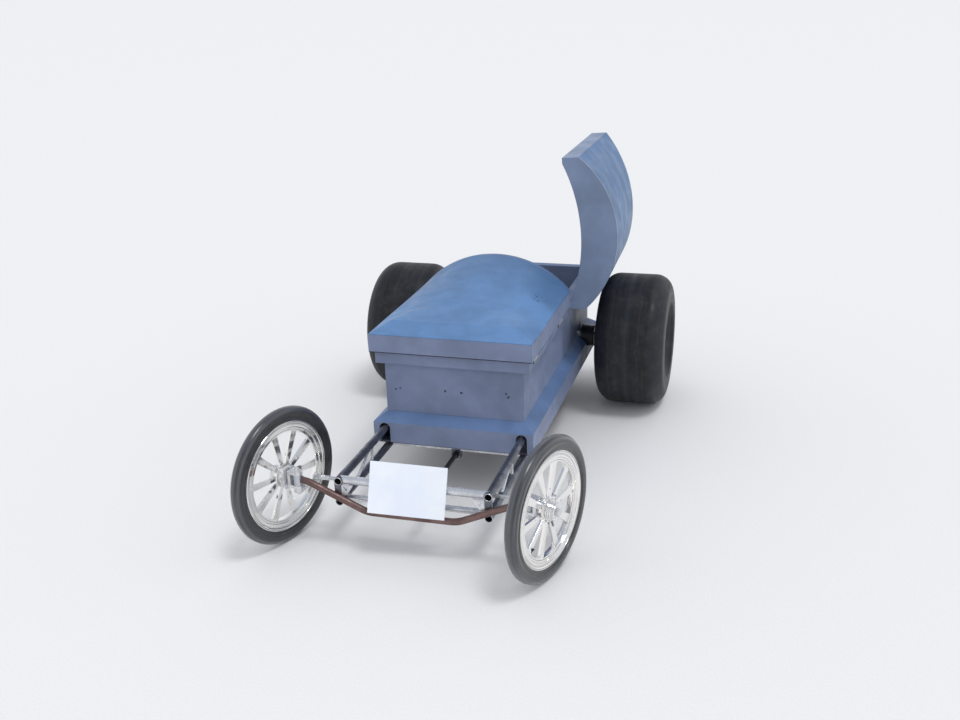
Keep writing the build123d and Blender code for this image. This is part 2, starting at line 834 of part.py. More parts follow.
def knuckle(side):
    x = side * kingpin_half_spacing
    with BuildPart() as body:
        with Locations((x, kingpin_y, (ear_top + ear_bottom) / 2)):
            Cylinder(clevis_radius, ear_top - ear_bottom)
            Cylinder(clevis_radius, boss_height + 2 * clevis_gap, mode=Mode.SUBTRACT)
        box_between(
            min(x, x + side * web_end), max(x, x + side * web_end),
            kingpin_y - clevis_radius, kingpin_y + clevis_radius,
            ear_bottom, ear_top,
        )
        box_between(
            min(x - side * clevis_radius, x + side * web_start),
            max(x - side * clevis_radius, x + side * web_start),
            kingpin_y - clevis_radius, kingpin_y + clevis_radius,
            ear_bottom + clevis_ear, ear_top - clevis_ear, Mode.SUBTRACT,
        )
        with Locations((x, kingpin_y, (ear_top + ear_bottom) / 2)):
            Cylinder(kingpin_radius, ear_top - ear_bottom)
        with Locations((x, kingpin_y, ear_top + pin_head_height / 2)):
            Cylinder(kingpin_head_radius, pin_head_height)
        with BuildSketch(Plane.YZ.offset(x + side * web_end)):
            with Locations((kingpin_y, front_tyre_radius)):
                Circle(spindle_radius)
        extrude(amount=side * (spindle_end - web_end))
        with BuildSketch(Plane.YZ.offset(x + side * (spindle_end - spindle_nut_overlap))):
            with Locations((kingpin_y, front_tyre_radius)):
                RegularPolygon(1.5 * spindle_radius, 6)
        extrude(amount=side * spindle_nut_height)
        with Locations((x, kingpin_y, (arm_bottom + ear_bottom + clevis_gap) / 2)):
            Cylinder(clevis_radius, ear_bottom + clevis_gap - arm_bottom)
        with BuildSketch(Plane.XY.offset(arm_bottom)):
            with Locations((x, kingpin_y + steering_arm / 2)):
                Rectangle(steering_arm_width, steering_arm)
            with Locations((x, kingpin_y + steering_arm)):
                Circle(tie_rod_eye_radius)
        extrude(amount=steering_arm_thickness)
        with Locations((x, kingpin_y + steering_arm, (arm_top + eye_top + tie_rod_gap) / 2)):
            Cylinder(tie_rod_pin_radius, eye_top + tie_rod_gap - arm_top)
        with Locations((x, kingpin_y + steering_arm, eye_top + tie_rod_gap + pin_head_height / 2)):
            Cylinder(tie_rod_pin_radius + pin_head_overhang, pin_head_height)
    return body.part


def kingpin_axis(side):
    return Axis((side * kingpin_half_spacing, kingpin_y, 0), (0, 0, 1))


sides = {"left": 1, "right": -1}
for name, side in sides.items():
    save_turned(knuckle(side), f"knuckle_{name}", kingpin_axis(side), -steer_angle)

# Tie rod: a tube between two eyes, with a pin at its middle for the steering lever
arm_end_x = steering_arm * sin(radians(steer_angle))
arm_end_y = kingpin_y + steering_arm * cos(radians(steer_angle))
eye_places = [(arm_end_x + side * kingpin_half_spacing, arm_end_y, rod_level) for side in (-1, 1)]
with BuildPart() as tie_rod:
    with BuildSketch(Plane.YZ.offset(eye_places[0][0])):
        with Locations((arm_end_y, rod_level)):
            Circle(tie_rod_radius)
    extrude(amount=2 * kingpin_half_spacing)
    with Locations(*eye_places):
        Cylinder(tie_rod_eye_radius, tie_rod_eye_height)
        Cylinder(tie_rod_eye_radius + tie_rod_radius, 2 * tie_rod_radius, mode=Mode.SUBTRACT)
        Cylinder(tie_rod_eye_radius, tie_rod_eye_height)
    for side, (x, y, z) in zip((-1, 1), eye_places):
        box_between(
            min(x - side * tie_rod_neck_start, x - side * tie_rod_neck_end),
            max(x - side * tie_rod_neck_start, x - side * tie_rod_neck_end),
            y - tie_rod_radius, y + tie_rod_radius, z - tie_rod_eye_height / 2, z + tie_rod_eye_height / 2,
        )
        with Locations((x, y, z)):
            Cylinder(tie_rod_pin_radius + running_fit, tie_rod_eye_height, mode=Mode.SUBTRACT)
    with BuildSketch(Plane.XZ.offset(-arm_end_y)):
        with Locations((arm_end_x, rod_level)):
            Circle(lever_pin_radius)
    extrude(amount=-(nose + lever_pin_end - arm_end_y))
save(tie_rod, "tie_rod")

# Lower steering shaft with its forked lever, turned to meet the pin of the tie rod
column_angle = degrees(atan2(column_climb, column_run))
lever_rest = lever_ratio * steer_angle
slot_inner = rod_level - lower_shaft_level - 2 * lever_pin_radius
lever_y = nose + lever_behind
shaft_axis = Axis((0, 0, lower_shaft_level), (0, 1, 0))
shaft_tubes = (front_lower_tube, floor_tubes[0])
collar_from_block = bearing_block_half_length + shaft_collar_gap + shaft_collar_length / 2
with BuildPart() as lower_shaft:
    with BuildSketch(Plane.XZ.offset(-(nose + lower_shaft_front))):
        with Locations((0, lower_shaft_level)):
            Circle(lower_shaft_radius)
    extrude(amount=-(joint_behind - lower_shaft_front))
    with Locations((0, nose + joint_behind, lower_shaft_level)):
        Sphere(ball_radius)
    with BuildSketch(Plane.XZ.offset(-(lever_y - lever_thickness / 2))):
        with Locations((0, lower_shaft_level)):
            Circle(lever_width / 2)
        with Locations((0, lower_shaft_level + lever_length / 2)):
            Rectangle(lever_width, lever_length)
        with Locations((0, lower_shaft_level + (slot_inner + lever_length) / 2)):
            Rectangle(2 * (lever_pin_radius + lever_slot_play), lever_length - slot_inner, mode=Mode.SUBTRACT)
    extrude(amount=-lever_thickness)
    for level, behind, radius in shaft_tubes:
        for end in (-1, 1):
            collar_y = nose + behind + end * collar_from_block
            with Locations(Location((0, collar_y, lower_shaft_level), (90, 0, 0))):
                Cylinder(lower_shaft_radius + shaft_collar_wall, shaft_collar_length)
save_turned(lower_shaft.part, "lower_steering_shaft", shaft_axis, lever_rest)

# Bearing blocks under the cross tubes for the lower shaft
with BuildPart() as shaft_bearings:
    for level, behind, radius in shaft_tubes:
        y = nose + behind
        box_between(
            -bearing_block_half_width, bearing_block_half_width,
            y - bearing_block_half_length, y + bearing_block_half_length,
            lower_shaft_level - bearing_block_drop, lower_rail_level,
        )
        with Locations(Location((0, y, lower_rail_level), (0, 90, 0))):
            Cylinder(cross_tube_radius, 2 * bearing_block_half_width, mode=Mode.SUBTRACT)
        with Locations(Location((0, y, lower_shaft_level), (90, 0, 0))):
            Cylinder(lower_shaft_radius + running_fit, 2 * bearing_block_half_length, mode=Mode.SUBTRACT)
save(shaft_bearings, "steering_shaft_bearings")

# Upper steering column with its wheel, along a sloping axis from the joint
column_base = Vector(0, nose + joint_behind, lower_shaft_level)
column_direction = Vector(0, column_run, column_climb).normalized()
column_length = (column_run**2 + column_climb**2) ** 0.5
column_plane = Plane(origin=column_base, x_dir=(1, 0, 0), z_dir=column_direction)
column_axis = Axis(column_base, column_direction)
with BuildPart() as column:
    with BuildSketch(column_plane.offset(column_cup_length)):
        Circle(column_radius)
    extrude(amount=column_length - column_cup_length)
    with BuildSketch(column_plane.offset(column_cup_start)):
        Circle(ball_radius + column_cup_wall)
    extrude(amount=column_cup_length - column_cup_start)
    with Locations(column_base):
        Sphere(ball_radius + seat_gap, mode=Mode.SUBTRACT)
save_turned(column.part, "steering_column", column_axis, lever_rest)

wheel_plane = column_plane.offset(column_length)
ring_middle = steering_wheel_radius - steering_wheel_grip
ring_centre = wheel_plane.origin + wheel_plane.x_dir * ring_middle
spoke_start = (column_radius + steering_wheel_plate_radius) / 2
with BuildPart() as steering_wheel:
    with BuildSketch(Plane(origin=ring_centre, x_dir=wheel_plane.x_dir, z_dir=wheel_plane.y_dir)):
        Circle(steering_wheel_grip)
    revolve(axis=Axis(wheel_plane.origin, column_direction))
    with BuildSketch(wheel_plane.offset(-steering_wheel_plate / 2)):
        Circle(steering_wheel_plate_radius)
        with PolarLocations(0, steering_spoke_count, start_angle=90):
            with Locations(((spoke_start + ring_middle) / 2, 0)):
                Rectangle(ring_middle - spoke_start, steering_spoke_width)
        Circle(column_radius, mode=Mode.SUBTRACT)
    extrude(amount=steering_wheel_plate)
    with BuildSketch(wheel_plane.offset(steering_wheel_plate / 2)):
        Circle(steering_wheel_boss_radius)
    extrude(amount=steering_wheel_boss_height)
save_turned(steering_wheel.part, "steering_wheel", column_axis, lever_rest)

# Post with a collar that holds the column above the floor
collar_along = (column_post_behind - joint_behind) / cos(radians(column_angle))
with BuildPart() as column_bearing:
    with BuildSketch(column_plane.offset(collar_along - collar_length / 2)):
        Circle(collar_radius)
    extrude(amount=collar_length)
    collar_centre = column_base + column_direction * collar_along
    box_between(
        -collar_radius, collar_radius,
        collar_centre.Y - post_thickness / 2, collar_centre.Y + post_thickness / 2,
        floor_top, collar_centre.Z - column_radius,
    )
    with BuildSketch(column_plane.offset(collar_along - 2 * collar_length)):
        Circle(column_radius + running_fit)
    extrude(amount=4 * collar_length, mode=Mode.SUBTRACT)
save(column_bearing, "column_post")

# Front wheels: tyre, rim with flat tapered spokes, and hub, turned with the knuckles
spoke_phase = {"left": 1.0, "right": 29.5}


def front_wheel(side, phase):
    x = side * (kingpin_half_spacing + spindle_offset)
    centre = Location((x, kingpin_y, front_tyre_radius))
    with BuildPart() as tyre:
        with BuildSketch(Plane.XY):
            with BuildLine():
                Line((-front_rim_half_width, front_rim_radius), (-front_tyre_half_width, front_tyre_waist))
                ThreePointArc(
                    (-front_tyre_half_width, front_tyre_waist), (0, front_tyre_radius),
                    (front_tyre_half_width, front_tyre_waist),
                )
                Line((front_tyre_half_width, front_tyre_waist), (front_rim_half_width, front_rim_radius))
                Line(
                    (front_rim_half_width, front_rim_radius),
                    (front_rim_half_width - front_tyre_wall, front_rim_radius),
                )
                Line(
                    (front_rim_half_width - front_tyre_wall, front_rim_radius),
                    (front_tyre_half_width - front_tyre_wall, front_tyre_waist),
                )
                ThreePointArc(
                    (front_tyre_half_width - front_tyre_wall, front_tyre_waist),
                    (0, front_tyre_radius - front_tyre_wall),
                    (-front_tyre_half_width + front_tyre_wall, front_tyre_waist),
                )
                Line(
                    (-front_tyre_half_width + front_tyre_wall, front_tyre_waist),
                    (-front_rim_half_width + front_tyre_wall, front_rim_radius),
                )
                Line(
                    (-front_rim_half_width + front_tyre_wall, front_rim_radius),
                    (-front_rim_half_width, front_rim_radius),
                )
            make_face()
        revolve(axis=Axis.X)
    with BuildPart() as rim:
        spoke_end = rim_well_radius + rim_wall / 2
        half_profile = (
            (rim_well_half_width - rim_wall, rim_well_outer - rim_wall / 2),
            (rim_step_half_width - rim_wall, rim_step_outer - rim_wall / 2),
            (front_rim_half_width - front_tyre_wall, front_rim_radius),
            (front_rim_half_width, front_rim_radius),
            (front_rim_half_width, front_rim_radius - rim_lip_depth),
            (rim_step_half_width, rim_step_outer),
            (rim_step_half_width, rim_step_inner),
            (rim_well_half_width, rim_well_outer),
            (rim_well_half_width, rim_well_radius),
        )
        with BuildSketch(Plane.XY):
            with BuildLine():
                Polyline(*half_profile, *[(-x, radius) for x, radius in reversed(half_profile)], close=True)
            make_face()
        revolve(axis=Axis.X)
        with BuildSketch(Plane.YZ.offset(-spoke_thickness / 2)):
            with PolarLocations(0, spoke_count, start_angle=phase):
                Polygon(
                    (hub_radius - spoke_overlap, -spoke_root_half), (spoke_end, -spoke_tip_half),
                    (spoke_end, spoke_tip_half), (hub_radius - spoke_overlap, spoke_root_half),
                    align=None,
                )
            Circle(hub_radius, mode=Mode.SUBTRACT)
        extrude(amount=spoke_thickness)
    with BuildPart() as hub:
        with BuildSketch(Plane.YZ.offset(-side * hub_inboard)):
            Circle(hub_radius)
        extrude(amount=side * (hub_inboard + hub_outboard))
        with BuildSketch(Plane.YZ.offset(-side * hub_inboard)):
            Circle(hub_flange_radius)
        extrude(amount=side * hub_flange_thickness)
        with BuildSketch(Plane.YZ.offset(-side * hub_inboard)):
            Circle(spindle_radius + running_fit)
        extrude(amount=side * (hub_inboard + hub_outboard), mode=Mode.SUBTRACT)
    return {"tyre": centre * tyre.part, "rim": centre * rim.part, "hub": centre * hub.part}


for name, side in sides.items():
    for piece, part in front_wheel(side, spoke_phase[name]).items():
        save_turned(part, f"front_{piece}_{name}", kingpin_axis(side), -steer_angle)

# Rear axle unit: a live axle, two dished rims and two slicks
half_track = rear_track / 2
half_rear_tyre = rear_tyre_width / 2
half_rear_rim = rear_rim_width / 2
rim_lip_radius = rear_rim_radius + rear_rim_lip
flange_at = half_track + rear_dish_from_middle
axle_end = flange_at + axle_end_length
shoulder_level = rear_tyre_radius - rear_shoulder_radius
tread_half = half_rear_tyre - rear_shoulder_radius
with BuildPart() as rear_axle:
    with BuildSketch(Plane.YZ.offset(-axle_end)):
        with Locations((rear_axle_y, rear_tyre_radius)):
            Circle(rear_axle_radius)
    extrude(amount=2 * axle_end)
    for side in (-1, 1):
        with BuildSketch(Plane.YZ.offset(side * flange_at)):
            with Locations((rear_axle_y, rear_tyre_radius)):
                Circle(rear_hub_flange_radius)
        extrude(amount=-side * rear_hub_flange_thickness)
        with BuildSketch(Plane.YZ.offset(side * (flange_at - rear_hub_flange_thickness))):
            with Locations((rear_axle_y, rear_tyre_radius)):
                Circle(rear_hub_radius)
        extrude(amount=-side * rear_hub_length)
        with BuildSketch(Plane.YZ.offset(side * (axle_end - axle_nut_from_end))):
            with Locations((rear_axle_y, rear_tyre_radius)):
                RegularPolygon(axle_nut_radius, 6)
        extrude(amount=side * axle_nut_height)
save(rear_axle, "rear_axle")

with BuildPart() as sprocket:
    with BuildSketch(Plane.YZ.offset(sprocket_offset)):
        with Locations((rear_axle_y, rear_tyre_radius)):
            Circle(sprocket_radius)
            with PolarLocations(sprocket_radius, sprocket_teeth):
                Circle(sprocket_gullet, mode=Mode.SUBTRACT)
            Circle(rear_axle_radius, mode=Mode.SUBTRACT)
    extrude(amount=sprocket_thickness)
save(sprocket, "sprocket")

for name, side in sides.items():
    centre = Location((side * half_track, rear_axle_y, rear_tyre_radius))
    with BuildPart() as rear_rim:
        with BuildSketch(Plane.XY):
            with BuildLine():
                Polyline(
                    (-half_rear_rim, rear_rim_radius - rear_rim_wall), (-half_rear_rim, rim_lip_radius),
                    (-half_rear_rim + rear_rim_wall, rim_lip_radius),
                    (-half_rear_rim + rear_rim_wall, rear_rim_radius),
                    (half_rear_rim - rear_rim_wall, rear_rim_radius),
                    (half_rear_rim - rear_rim_wall, rim_lip_radius),
                    (half_rear_rim, rim_lip_radius), (half_rear_rim, rear_rim_radius - rear_rim_wall),
                    close=True,
                )
            make_face()
        revolve(axis=Axis.X)
        with BuildSketch(Plane.YZ.offset(side * rear_dish_from_middle)):
            Circle(rear_rim_radius - rear_rim_wall / 2)
            Circle(rear_axle_radius, mode=Mode.SUBTRACT)
            with PolarLocations(dish_hole_ring, dish_hole_count):
                Circle(dish_hole_radius, mode=Mode.SUBTRACT)
        extrude(amount=side * rear_dish_thickness)
    save_placed(rear_rim.part, f"rear_rim_{name}", centre)
    with BuildPart() as rear_tyre:
        bead = half_rear_rim - rear_rim_wall
        inner_half = half_rear_tyre - rear_tyre_wall
        inner_tread = rear_tyre_radius - rear_tyre_wall
        inner_shoulder = rear_shoulder_radius - rear_tyre_wall
        turn = cos(radians(45))
        with BuildSketch(Plane.XY):
            with BuildLine():
                Polyline(
                    (-bead, rear_rim_radius), (-bead, rim_lip_radius), (-half_rear_rim, rim_lip_radius),
                    (-half_rear_tyre, rear_sidewall_bulge), (-half_rear_tyre, shoulder_level),
                )
                ThreePointArc(
                    (-half_rear_tyre, shoulder_level),
                    (-tread_half - rear_shoulder_radius * turn, shoulder_level + rear_shoulder_radius * turn),
                    (-tread_half, rear_tyre_radius),
                )
                Line((-tread_half, rear_tyre_radius), (tread_half, rear_tyre_radius))
                ThreePointArc(
                    (tread_half, rear_tyre_radius),
                    (tread_half + rear_shoulder_radius * turn, shoulder_level + rear_shoulder_radius * turn),
                    (half_rear_tyre, shoulder_level),
                )
                Polyline(
                    (half_rear_tyre, shoulder_level), (half_rear_tyre, rear_sidewall_bulge),
                    (half_rear_rim, rim_lip_radius), (bead, rim_lip_radius), (bead, rear_rim_radius),
                    (bead - rear_tyre_wall, rear_rim_radius), (bead - rear_tyre_wall, rim_lip_radius),
                    (inner_half, rear_sidewall_bulge), (inner_half, shoulder_level),
                )
                ThreePointArc(
                    (inner_half, shoulder_level),
                    (tread_half + inner_shoulder * turn, shoulder_level + inner_shoulder * turn),
                    (tread_half, inner_tread),
                )
                Line((tread_half, inner_tread), (-tread_half, inner_tread))
                ThreePointArc(
                    (-tread_half, inner_tread),
                    (-tread_half - inner_shoulder * turn, shoulder_level + inner_shoulder * turn),
                    (-inner_half, shoulder_level),
                )
                Polyline(
                    (-inner_half, shoulder_level), (-inner_half, rear_sidewall_bulge),
                    (-bead + rear_tyre_wall, rim_lip_radius), (-bead + rear_tyre_wall, rear_rim_radius),
                    (-bead, rear_rim_radius),
                )
            make_face()
        revolve(axis=Axis.X)
    save_placed(rear_tyre.part, f"rear_tyre_{name}", centre)
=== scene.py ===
import json
import math

import bmesh
import bpy
from mathutils import Matrix, Vector
from mathutils.bvhtree import BVHTree


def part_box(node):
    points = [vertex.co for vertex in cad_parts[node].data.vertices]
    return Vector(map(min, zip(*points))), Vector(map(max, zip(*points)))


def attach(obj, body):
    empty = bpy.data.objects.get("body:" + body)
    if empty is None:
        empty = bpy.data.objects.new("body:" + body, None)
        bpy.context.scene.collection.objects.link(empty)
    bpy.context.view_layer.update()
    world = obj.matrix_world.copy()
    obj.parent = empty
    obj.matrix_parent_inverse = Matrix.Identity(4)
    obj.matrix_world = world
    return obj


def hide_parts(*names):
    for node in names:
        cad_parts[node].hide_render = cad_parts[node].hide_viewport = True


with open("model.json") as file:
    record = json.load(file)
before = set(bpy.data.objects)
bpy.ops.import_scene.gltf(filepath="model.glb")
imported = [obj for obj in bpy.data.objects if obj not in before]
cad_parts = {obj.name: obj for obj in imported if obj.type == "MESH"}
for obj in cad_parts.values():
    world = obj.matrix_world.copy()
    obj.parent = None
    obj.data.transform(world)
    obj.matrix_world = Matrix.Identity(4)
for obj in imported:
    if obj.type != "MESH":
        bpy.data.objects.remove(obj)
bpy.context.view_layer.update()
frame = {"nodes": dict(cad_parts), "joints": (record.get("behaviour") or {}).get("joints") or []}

bl_info = {
    "name": "Casket Drag Car Dressing",
    "version": (1, 0, 0),
    "blender": (4, 5, 0),
    "location": "3D View > Sidebar > Drag Car",
    "description": "Paint, metal, rubber, fasteners and studio for a drag racing car with a casket body",
    "category": "Object",
}

TURN = 2 * math.pi
SIDES = {"left": 1, "right": -1}
FINISH = {}
# Where the frame's solids lie, in metres: x to the car's left, y backwards, z up
RAIL_X = 0.233
RAIL_RADIUS = 0.0127
LOW_RAIL, HIGH_RAIL = 0.148, 0.216
UPPER_TUBE_Y = -0.66995


def rgb(red, green, blue):
    """A colour given as a screen shows it, from 0 to 255, turned into linear light."""
    linear = []
    for channel in (red, green, blue):
        share = channel / 255
        linear.append(share / 12.92 if share <= 0.04045 else ((share + 0.055) / 1.055) ** 2.4)
    return (*linear, 1.0)


def toned(colour, share):
    """A lighter or darker tone of a linear colour."""
    return (*(min(channel * share, 1.0) for channel in colour[:3]), 1.0)


def joint(name):
    return next(j for j in frame["joints"] if j["name"] == name)


class Nodes:
    """Helpers that add and link the nodes of a shader tree."""

    def __init__(self, tree):
        self.tree = tree

    def node(self, kind, **inputs):
        """A node of a kind, with its inputs set or linked by name."""
        node = self.tree.nodes.new(f"ShaderNode{kind}")
        for name, value in inputs.items():
            self.put(node.inputs[name.replace("_", " ").title()], value)
        return node

    def put(self, target, value):
        """Links an output to a socket, or sets the socket's own value."""
        if isinstance(value, bpy.types.NodeSocket):
            self.tree.links.new(value, target)
        else:
            target.default_value = value

    def axis(self, vector, name):
        """One axis of a vector."""
        return self.node("SeparateXYZ", vector=vector).outputs[name]

    def coordinates(self, kind):
        return self.node("TexCoord").outputs[kind]

    def math(self, operation, first, second=0.0):
        node = self.node("Math")
        node.operation = operation
        self.put(node.inputs[0], first)
        self.put(node.inputs[1], second)
        return node.outputs[0]

    def mix(self, share, first, second):
        node = self.node("Mix")
        node.data_type = "RGBA"
        self.put(node.inputs["Factor"], share)
        self.put(node.inputs["A"], first)
        self.put(node.inputs["B"], second)
        return node.outputs["Result"]


class Surface(Nodes):
    """One material, with the helpers that build its pattern."""

    def __init__(self, name):
        self.material = bpy.data.materials.new(name)
        self.material.use_nodes = True
        super().__init__(self.material.node_tree)
        self.shader = self.tree.nodes["Principled BSDF"]
        self.here = self.place()

    def place(self, scale=(1, 1, 1), turn=(0, 0, 0)):
        placed = self.node("Mapping", vector=self.coordinates("Object"), scale=scale, rotation=turn)
        return placed.outputs[0]

    def facing_up(self):
        """How far the surface faces up, from 0 on a wall to 1 on a level top; the primer paints sky light by
        it.
        """
        return self.curve(self.axis(self.coordinates("Normal"), "Z"), 0.2, 0.8)

    def curve(self, value, start, end, low=0.0, high=1.0):
        """Maps start..end smoothly to low..high, held at both ends."""
        node = self.node("MapRange", value=value, from_min=start, from_max=end, to_min=low, to_max=high)
        node.interpolation_type = "SMOOTHSTEP"
        return node.outputs["Result"]

    def times(self, first, second):
        return self.math("MULTIPLY", first, second)

    def vector(self, operation, first, second):
        node = self.node("VectorMath")
        node.operation = operation
        self.put(node.inputs[0], first)
        if operation == "SCALE":
            self.put(node.inputs["Scale"], second)
        else:
            self.put(node.inputs[1], second)
        return node

    def bump(self, height, strength, distance, under=None):
        node = self.node("Bump", height=height, strength=strength, distance=distance)
        if under is not None:
            self.put(node.inputs["Normal"], under)
        return node.outputs["Normal"]

    def about(self, centre, axis):
        """The distance along an axle and the distance from it, for rings and bands on a wheel."""
        moved = self.vector("SUBTRACT", self.here, centre).outputs[0]
        along = self.vector("DOT_PRODUCT", moved, axis).outputs["Value"]
        on_axle = self.vector("SCALE", axis, along).outputs[0]
        away = self.vector("SUBTRACT", moved, on_axle).outputs[0]
        return along, self.vector("LENGTH", away, (0, 0, 0)).outputs["Value"]

    def together(self, x, y, z):
        node = self.node("CombineXYZ")
        for index, value in enumerate((x, y, z)):
            self.put(node.inputs[index], value)
        return node.outputs[0]

    def noise(self, scale, detail=4.0, roughness=0.6, distortion=0.0, place=None):
        node = self.node(
            "TexNoise", vector=place or self.here, scale=scale, detail=detail, roughness=roughness,
            distortion=distortion,
        )
        return node.outputs["Fac"]

    def patches(self, noise, *levels, place=None):
        """A noise, given by its scale, detail, roughness and distortion, mapped as a curve."""
        return self.curve(self.noise(*noise, place=place), *levels)

    def finish(self, **values):
        """Sets or links the shader's inputs by name, and gives the material."""
        for name, value in values.items():
            self.put(self.shader.inputs[name.replace("_", " ").title().replace("Ior", "IOR")], value)
        return self.material


def sprayed_primer(name, top, wall, spread=0.16, back_shade=0.0, edge=0.0028, chipped_at=None):
    """Grey primer sprayed by hand: clouds, grain and scuffs, with painted light, as tops take a sky-lit
    colour and upright faces a shaded one; it may be painted darker towards the back as shade, and be
    chipped.
    """
    skin = Surface(name)
    up = skin.facing_up()
    clouds = skin.patches((4.6, 3.0, 0.5, 0.5), 0.30, 0.70)
    puffs = skin.patches((15.0, 4.0, 0.55, 0.3), 0.36, 0.66)
    share = skin.math("ADD", skin.times(clouds, 0.65), skin.times(puffs, 0.35))
    # Painted light: upright faces take the shaded wall colour, faces turned up the sky-lit top colour
    low = skin.mix(up, toned(wall, 1 - spread), toned(top, 1 - spread))
    high = skin.mix(up, toned(wall, 1 + spread), toned(top, 1 + spread))
    paint = skin.mix(share, low, high)
    # Painted shade: the primer darkens towards the back
    if back_shade:
        backwards = skin.curve(skin.axis(skin.here, "Y"), -0.10, 0.34, 0.0, back_shade)
        paint = skin.mix(backwards, paint, toned(top, 0.45))
    scuff_place = skin.place(scale=(1, 6, 1), turn=(0, 0, 0.7))
    scuffs = skin.patches((24.0, 3.0, 0.6, 1.4), 0.72, 0.76, 0.0, 0.16, place=scuff_place)
    paint = skin.mix(scuffs, paint, toned(wall, 0.45))
    speckle = skin.patches((210.0, 3.0, 0.7), 0.60, 0.74, 0.0, 0.22)
    paint = skin.mix(speckle, paint, toned(wall, 1.5))
    if chipped_at:
        away = skin.vector("DISTANCE", skin.here, chipped_at).outputs["Value"]
        near = skin.curve(away, 0.020, 0.034, 1.0, 0.0)
        strokes = skin.noise(150.0, 2.0, 0.5, place=skin.place(scale=(1, 0.4, 1), turn=(0, 0, 0.6)))
        chips = skin.times(near, skin.curve(strokes, 0.55, 0.60, 0.0, 0.95))
        paint = skin.mix(chips, paint, toned(wall, 0.22))
    rounded = None
    if edge:
        bevel = skin.node("Bevel", radius=edge)
        bevel.samples = 4
        rounded = bevel.outputs["Normal"]
    grain = skin.bump(skin.noise(900.0, 2.0, 0.5), 0.14, 0.0006, rounded)
    return skin.finish(
        base_color=paint,
        roughness=skin.patches((16.0, 4.0, 0.6), 0.3, 0.7, 0.38, 0.56),
        normal=skin.bump(skin.noise(10.0, 2.0, 0.4), 0.10, 0.004, grain),
    )


def bare_steel(name, dark, pale, rough, metallic=0.9, rust=0.0, bright_beyond=None):
    """Drawn or worn steel: clouds, fine streaks, rust where asked, and bright ends beyond a half width."""
    skin = Surface(name)
    tone = skin.patches((22.0, 5.0, 0.65, 0.3), 0.33, 0.66)
    streaks = skin.patches((6.0, 3.0), 0.3, 0.7, 0.5, 1.0, place=skin.place(scale=(60, 3, 60)))
    colour = skin.mix(skin.times(tone, streaks), dark, pale)
    if rust:
        spots = skin.patches((34.0, 6.0, 0.7, 0.6), 0.60, 0.70, 0.0, rust)
        colour = skin.mix(spots, colour, rgb(96, 62, 44))
    if bright_beyond:
        half_width = skin.math("ABSOLUTE", skin.axis(skin.here, "X"))
        ends = skin.curve(half_width, bright_beyond, bright_beyond + 0.001)
        colour = skin.mix(ends, colour, rgb(200, 202, 208))
    return skin.finish(
        base_color=colour,
        roughness=skin.curve(tone, 0.0, 1.0, rough + 0.10, rough - 0.06),
        normal=skin.bump(skin.noise(240.0, 4.0), 0.10, 0.0006),
        metallic=metallic,
    )


def polished_chrome(name, centre, axis):
    """Chrome with painted reflections: dark rings round the rim and dark drifts by the hub, as of things
    mirrored in it.
    """
    skin = Surface(name)
    radius = skin.about(centre, axis)[1]
    by_hub = skin.times(skin.curve(radius, 0.038, 0.050), skin.curve(radius, 0.080, 0.068))
    drifts = skin.patches((26.0, 2.0, 0.5, 0.6), 0.55, 0.60, 0.0, 0.85)
    hair = skin.noise(1.0, 2.0, place=skin.together(skin.times(radius, 330.0), 0.0, 0.0))
    broken = skin.patches((7.0, 2.0, 0.5), 0.36, 0.56)
    rings = skin.times(skin.curve(hair, 0.53, 0.58, 0.0, 0.9), broken)
    rings = skin.times(rings, skin.curve(radius, 0.1385, 0.1405))
    # Painted reflection: dark blue rings and drifts mixed into the chrome's colour
    shade = skin.math("MAXIMUM", skin.times(drifts, by_hub), rings)
    colour = skin.mix(shade, rgb(251, 249, 246), rgb(34, 40, 56))
    dust = skin.patches((60.0, 5.0, 0.7), 0.62, 0.8, 0.0, 0.2)
    smudge = skin.noise(30.0, 5.0, 0.65)
    return skin.finish(
        base_color=skin.mix(dust, colour, rgb(206, 198, 188)),
        roughness=skin.curve(smudge, 0.4, 0.75, 0.08, 0.22),
        normal=skin.bump(smudge, 0.02, 0.001),
        metallic=1.0,
    )


def worn_rubber(name, centre, axis, dark, worn, edge, rough, ring_scale, gloss=0.0, worn_sheen_from=None):
    """Rubber with soft bands round the wheel, fine scuffs, dust that gathers in patches, and if asked a
    lighter crown, part wear and part painted sheen.
    """
    skin = Surface(name)
    along, radius = skin.about(centre, axis)
    slow = skin.noise(3.0, 2.0)
    rings = skin.together(
        skin.times(along, ring_scale), skin.times(radius, ring_scale), skin.times(slow, 1.6),
    )
    bands = skin.noise(1.0, 4.0, 0.6, place=rings)
    fine = skin.noise(4.5, 4.0, 0.7, place=rings)
    dust = skin.patches((14.0, 6.0, 0.7), 0.42, 0.72, 0.0, 0.12)
    colour = skin.mix(skin.curve(bands, 0.36, 0.66), dark, worn)
    colour = skin.mix(skin.curve(fine, 0.55, 0.75, 0.0, 0.55), colour, edge)
    colour = skin.mix(dust, colour, rgb(112, 106, 100))
    # Lighter band on the crown of the tyre: part worn rubber, part a painted sheen where light catches it
    if worn_sheen_from:
        worn_sheen = skin.curve(radius, worn_sheen_from, worn_sheen_from + 0.014, 0.0, 0.5)
        colour = skin.mix(skin.times(worn_sheen, skin.curve(bands, 0.3, 0.6)), colour, edge)
    grain = skin.bump(skin.noise(420.0, 3.0), 0.16, 0.0008)
    return skin.finish(
        base_color=colour,
        roughness=skin.curve(bands, 0.3, 0.7, rough + 0.08, rough - 0.08),
        normal=skin.bump(fine, 0.12, 0.001, grain),
        specular_ior_level=0.35,
        coat_weight=gloss,
        coat_roughness=0.24,
    )


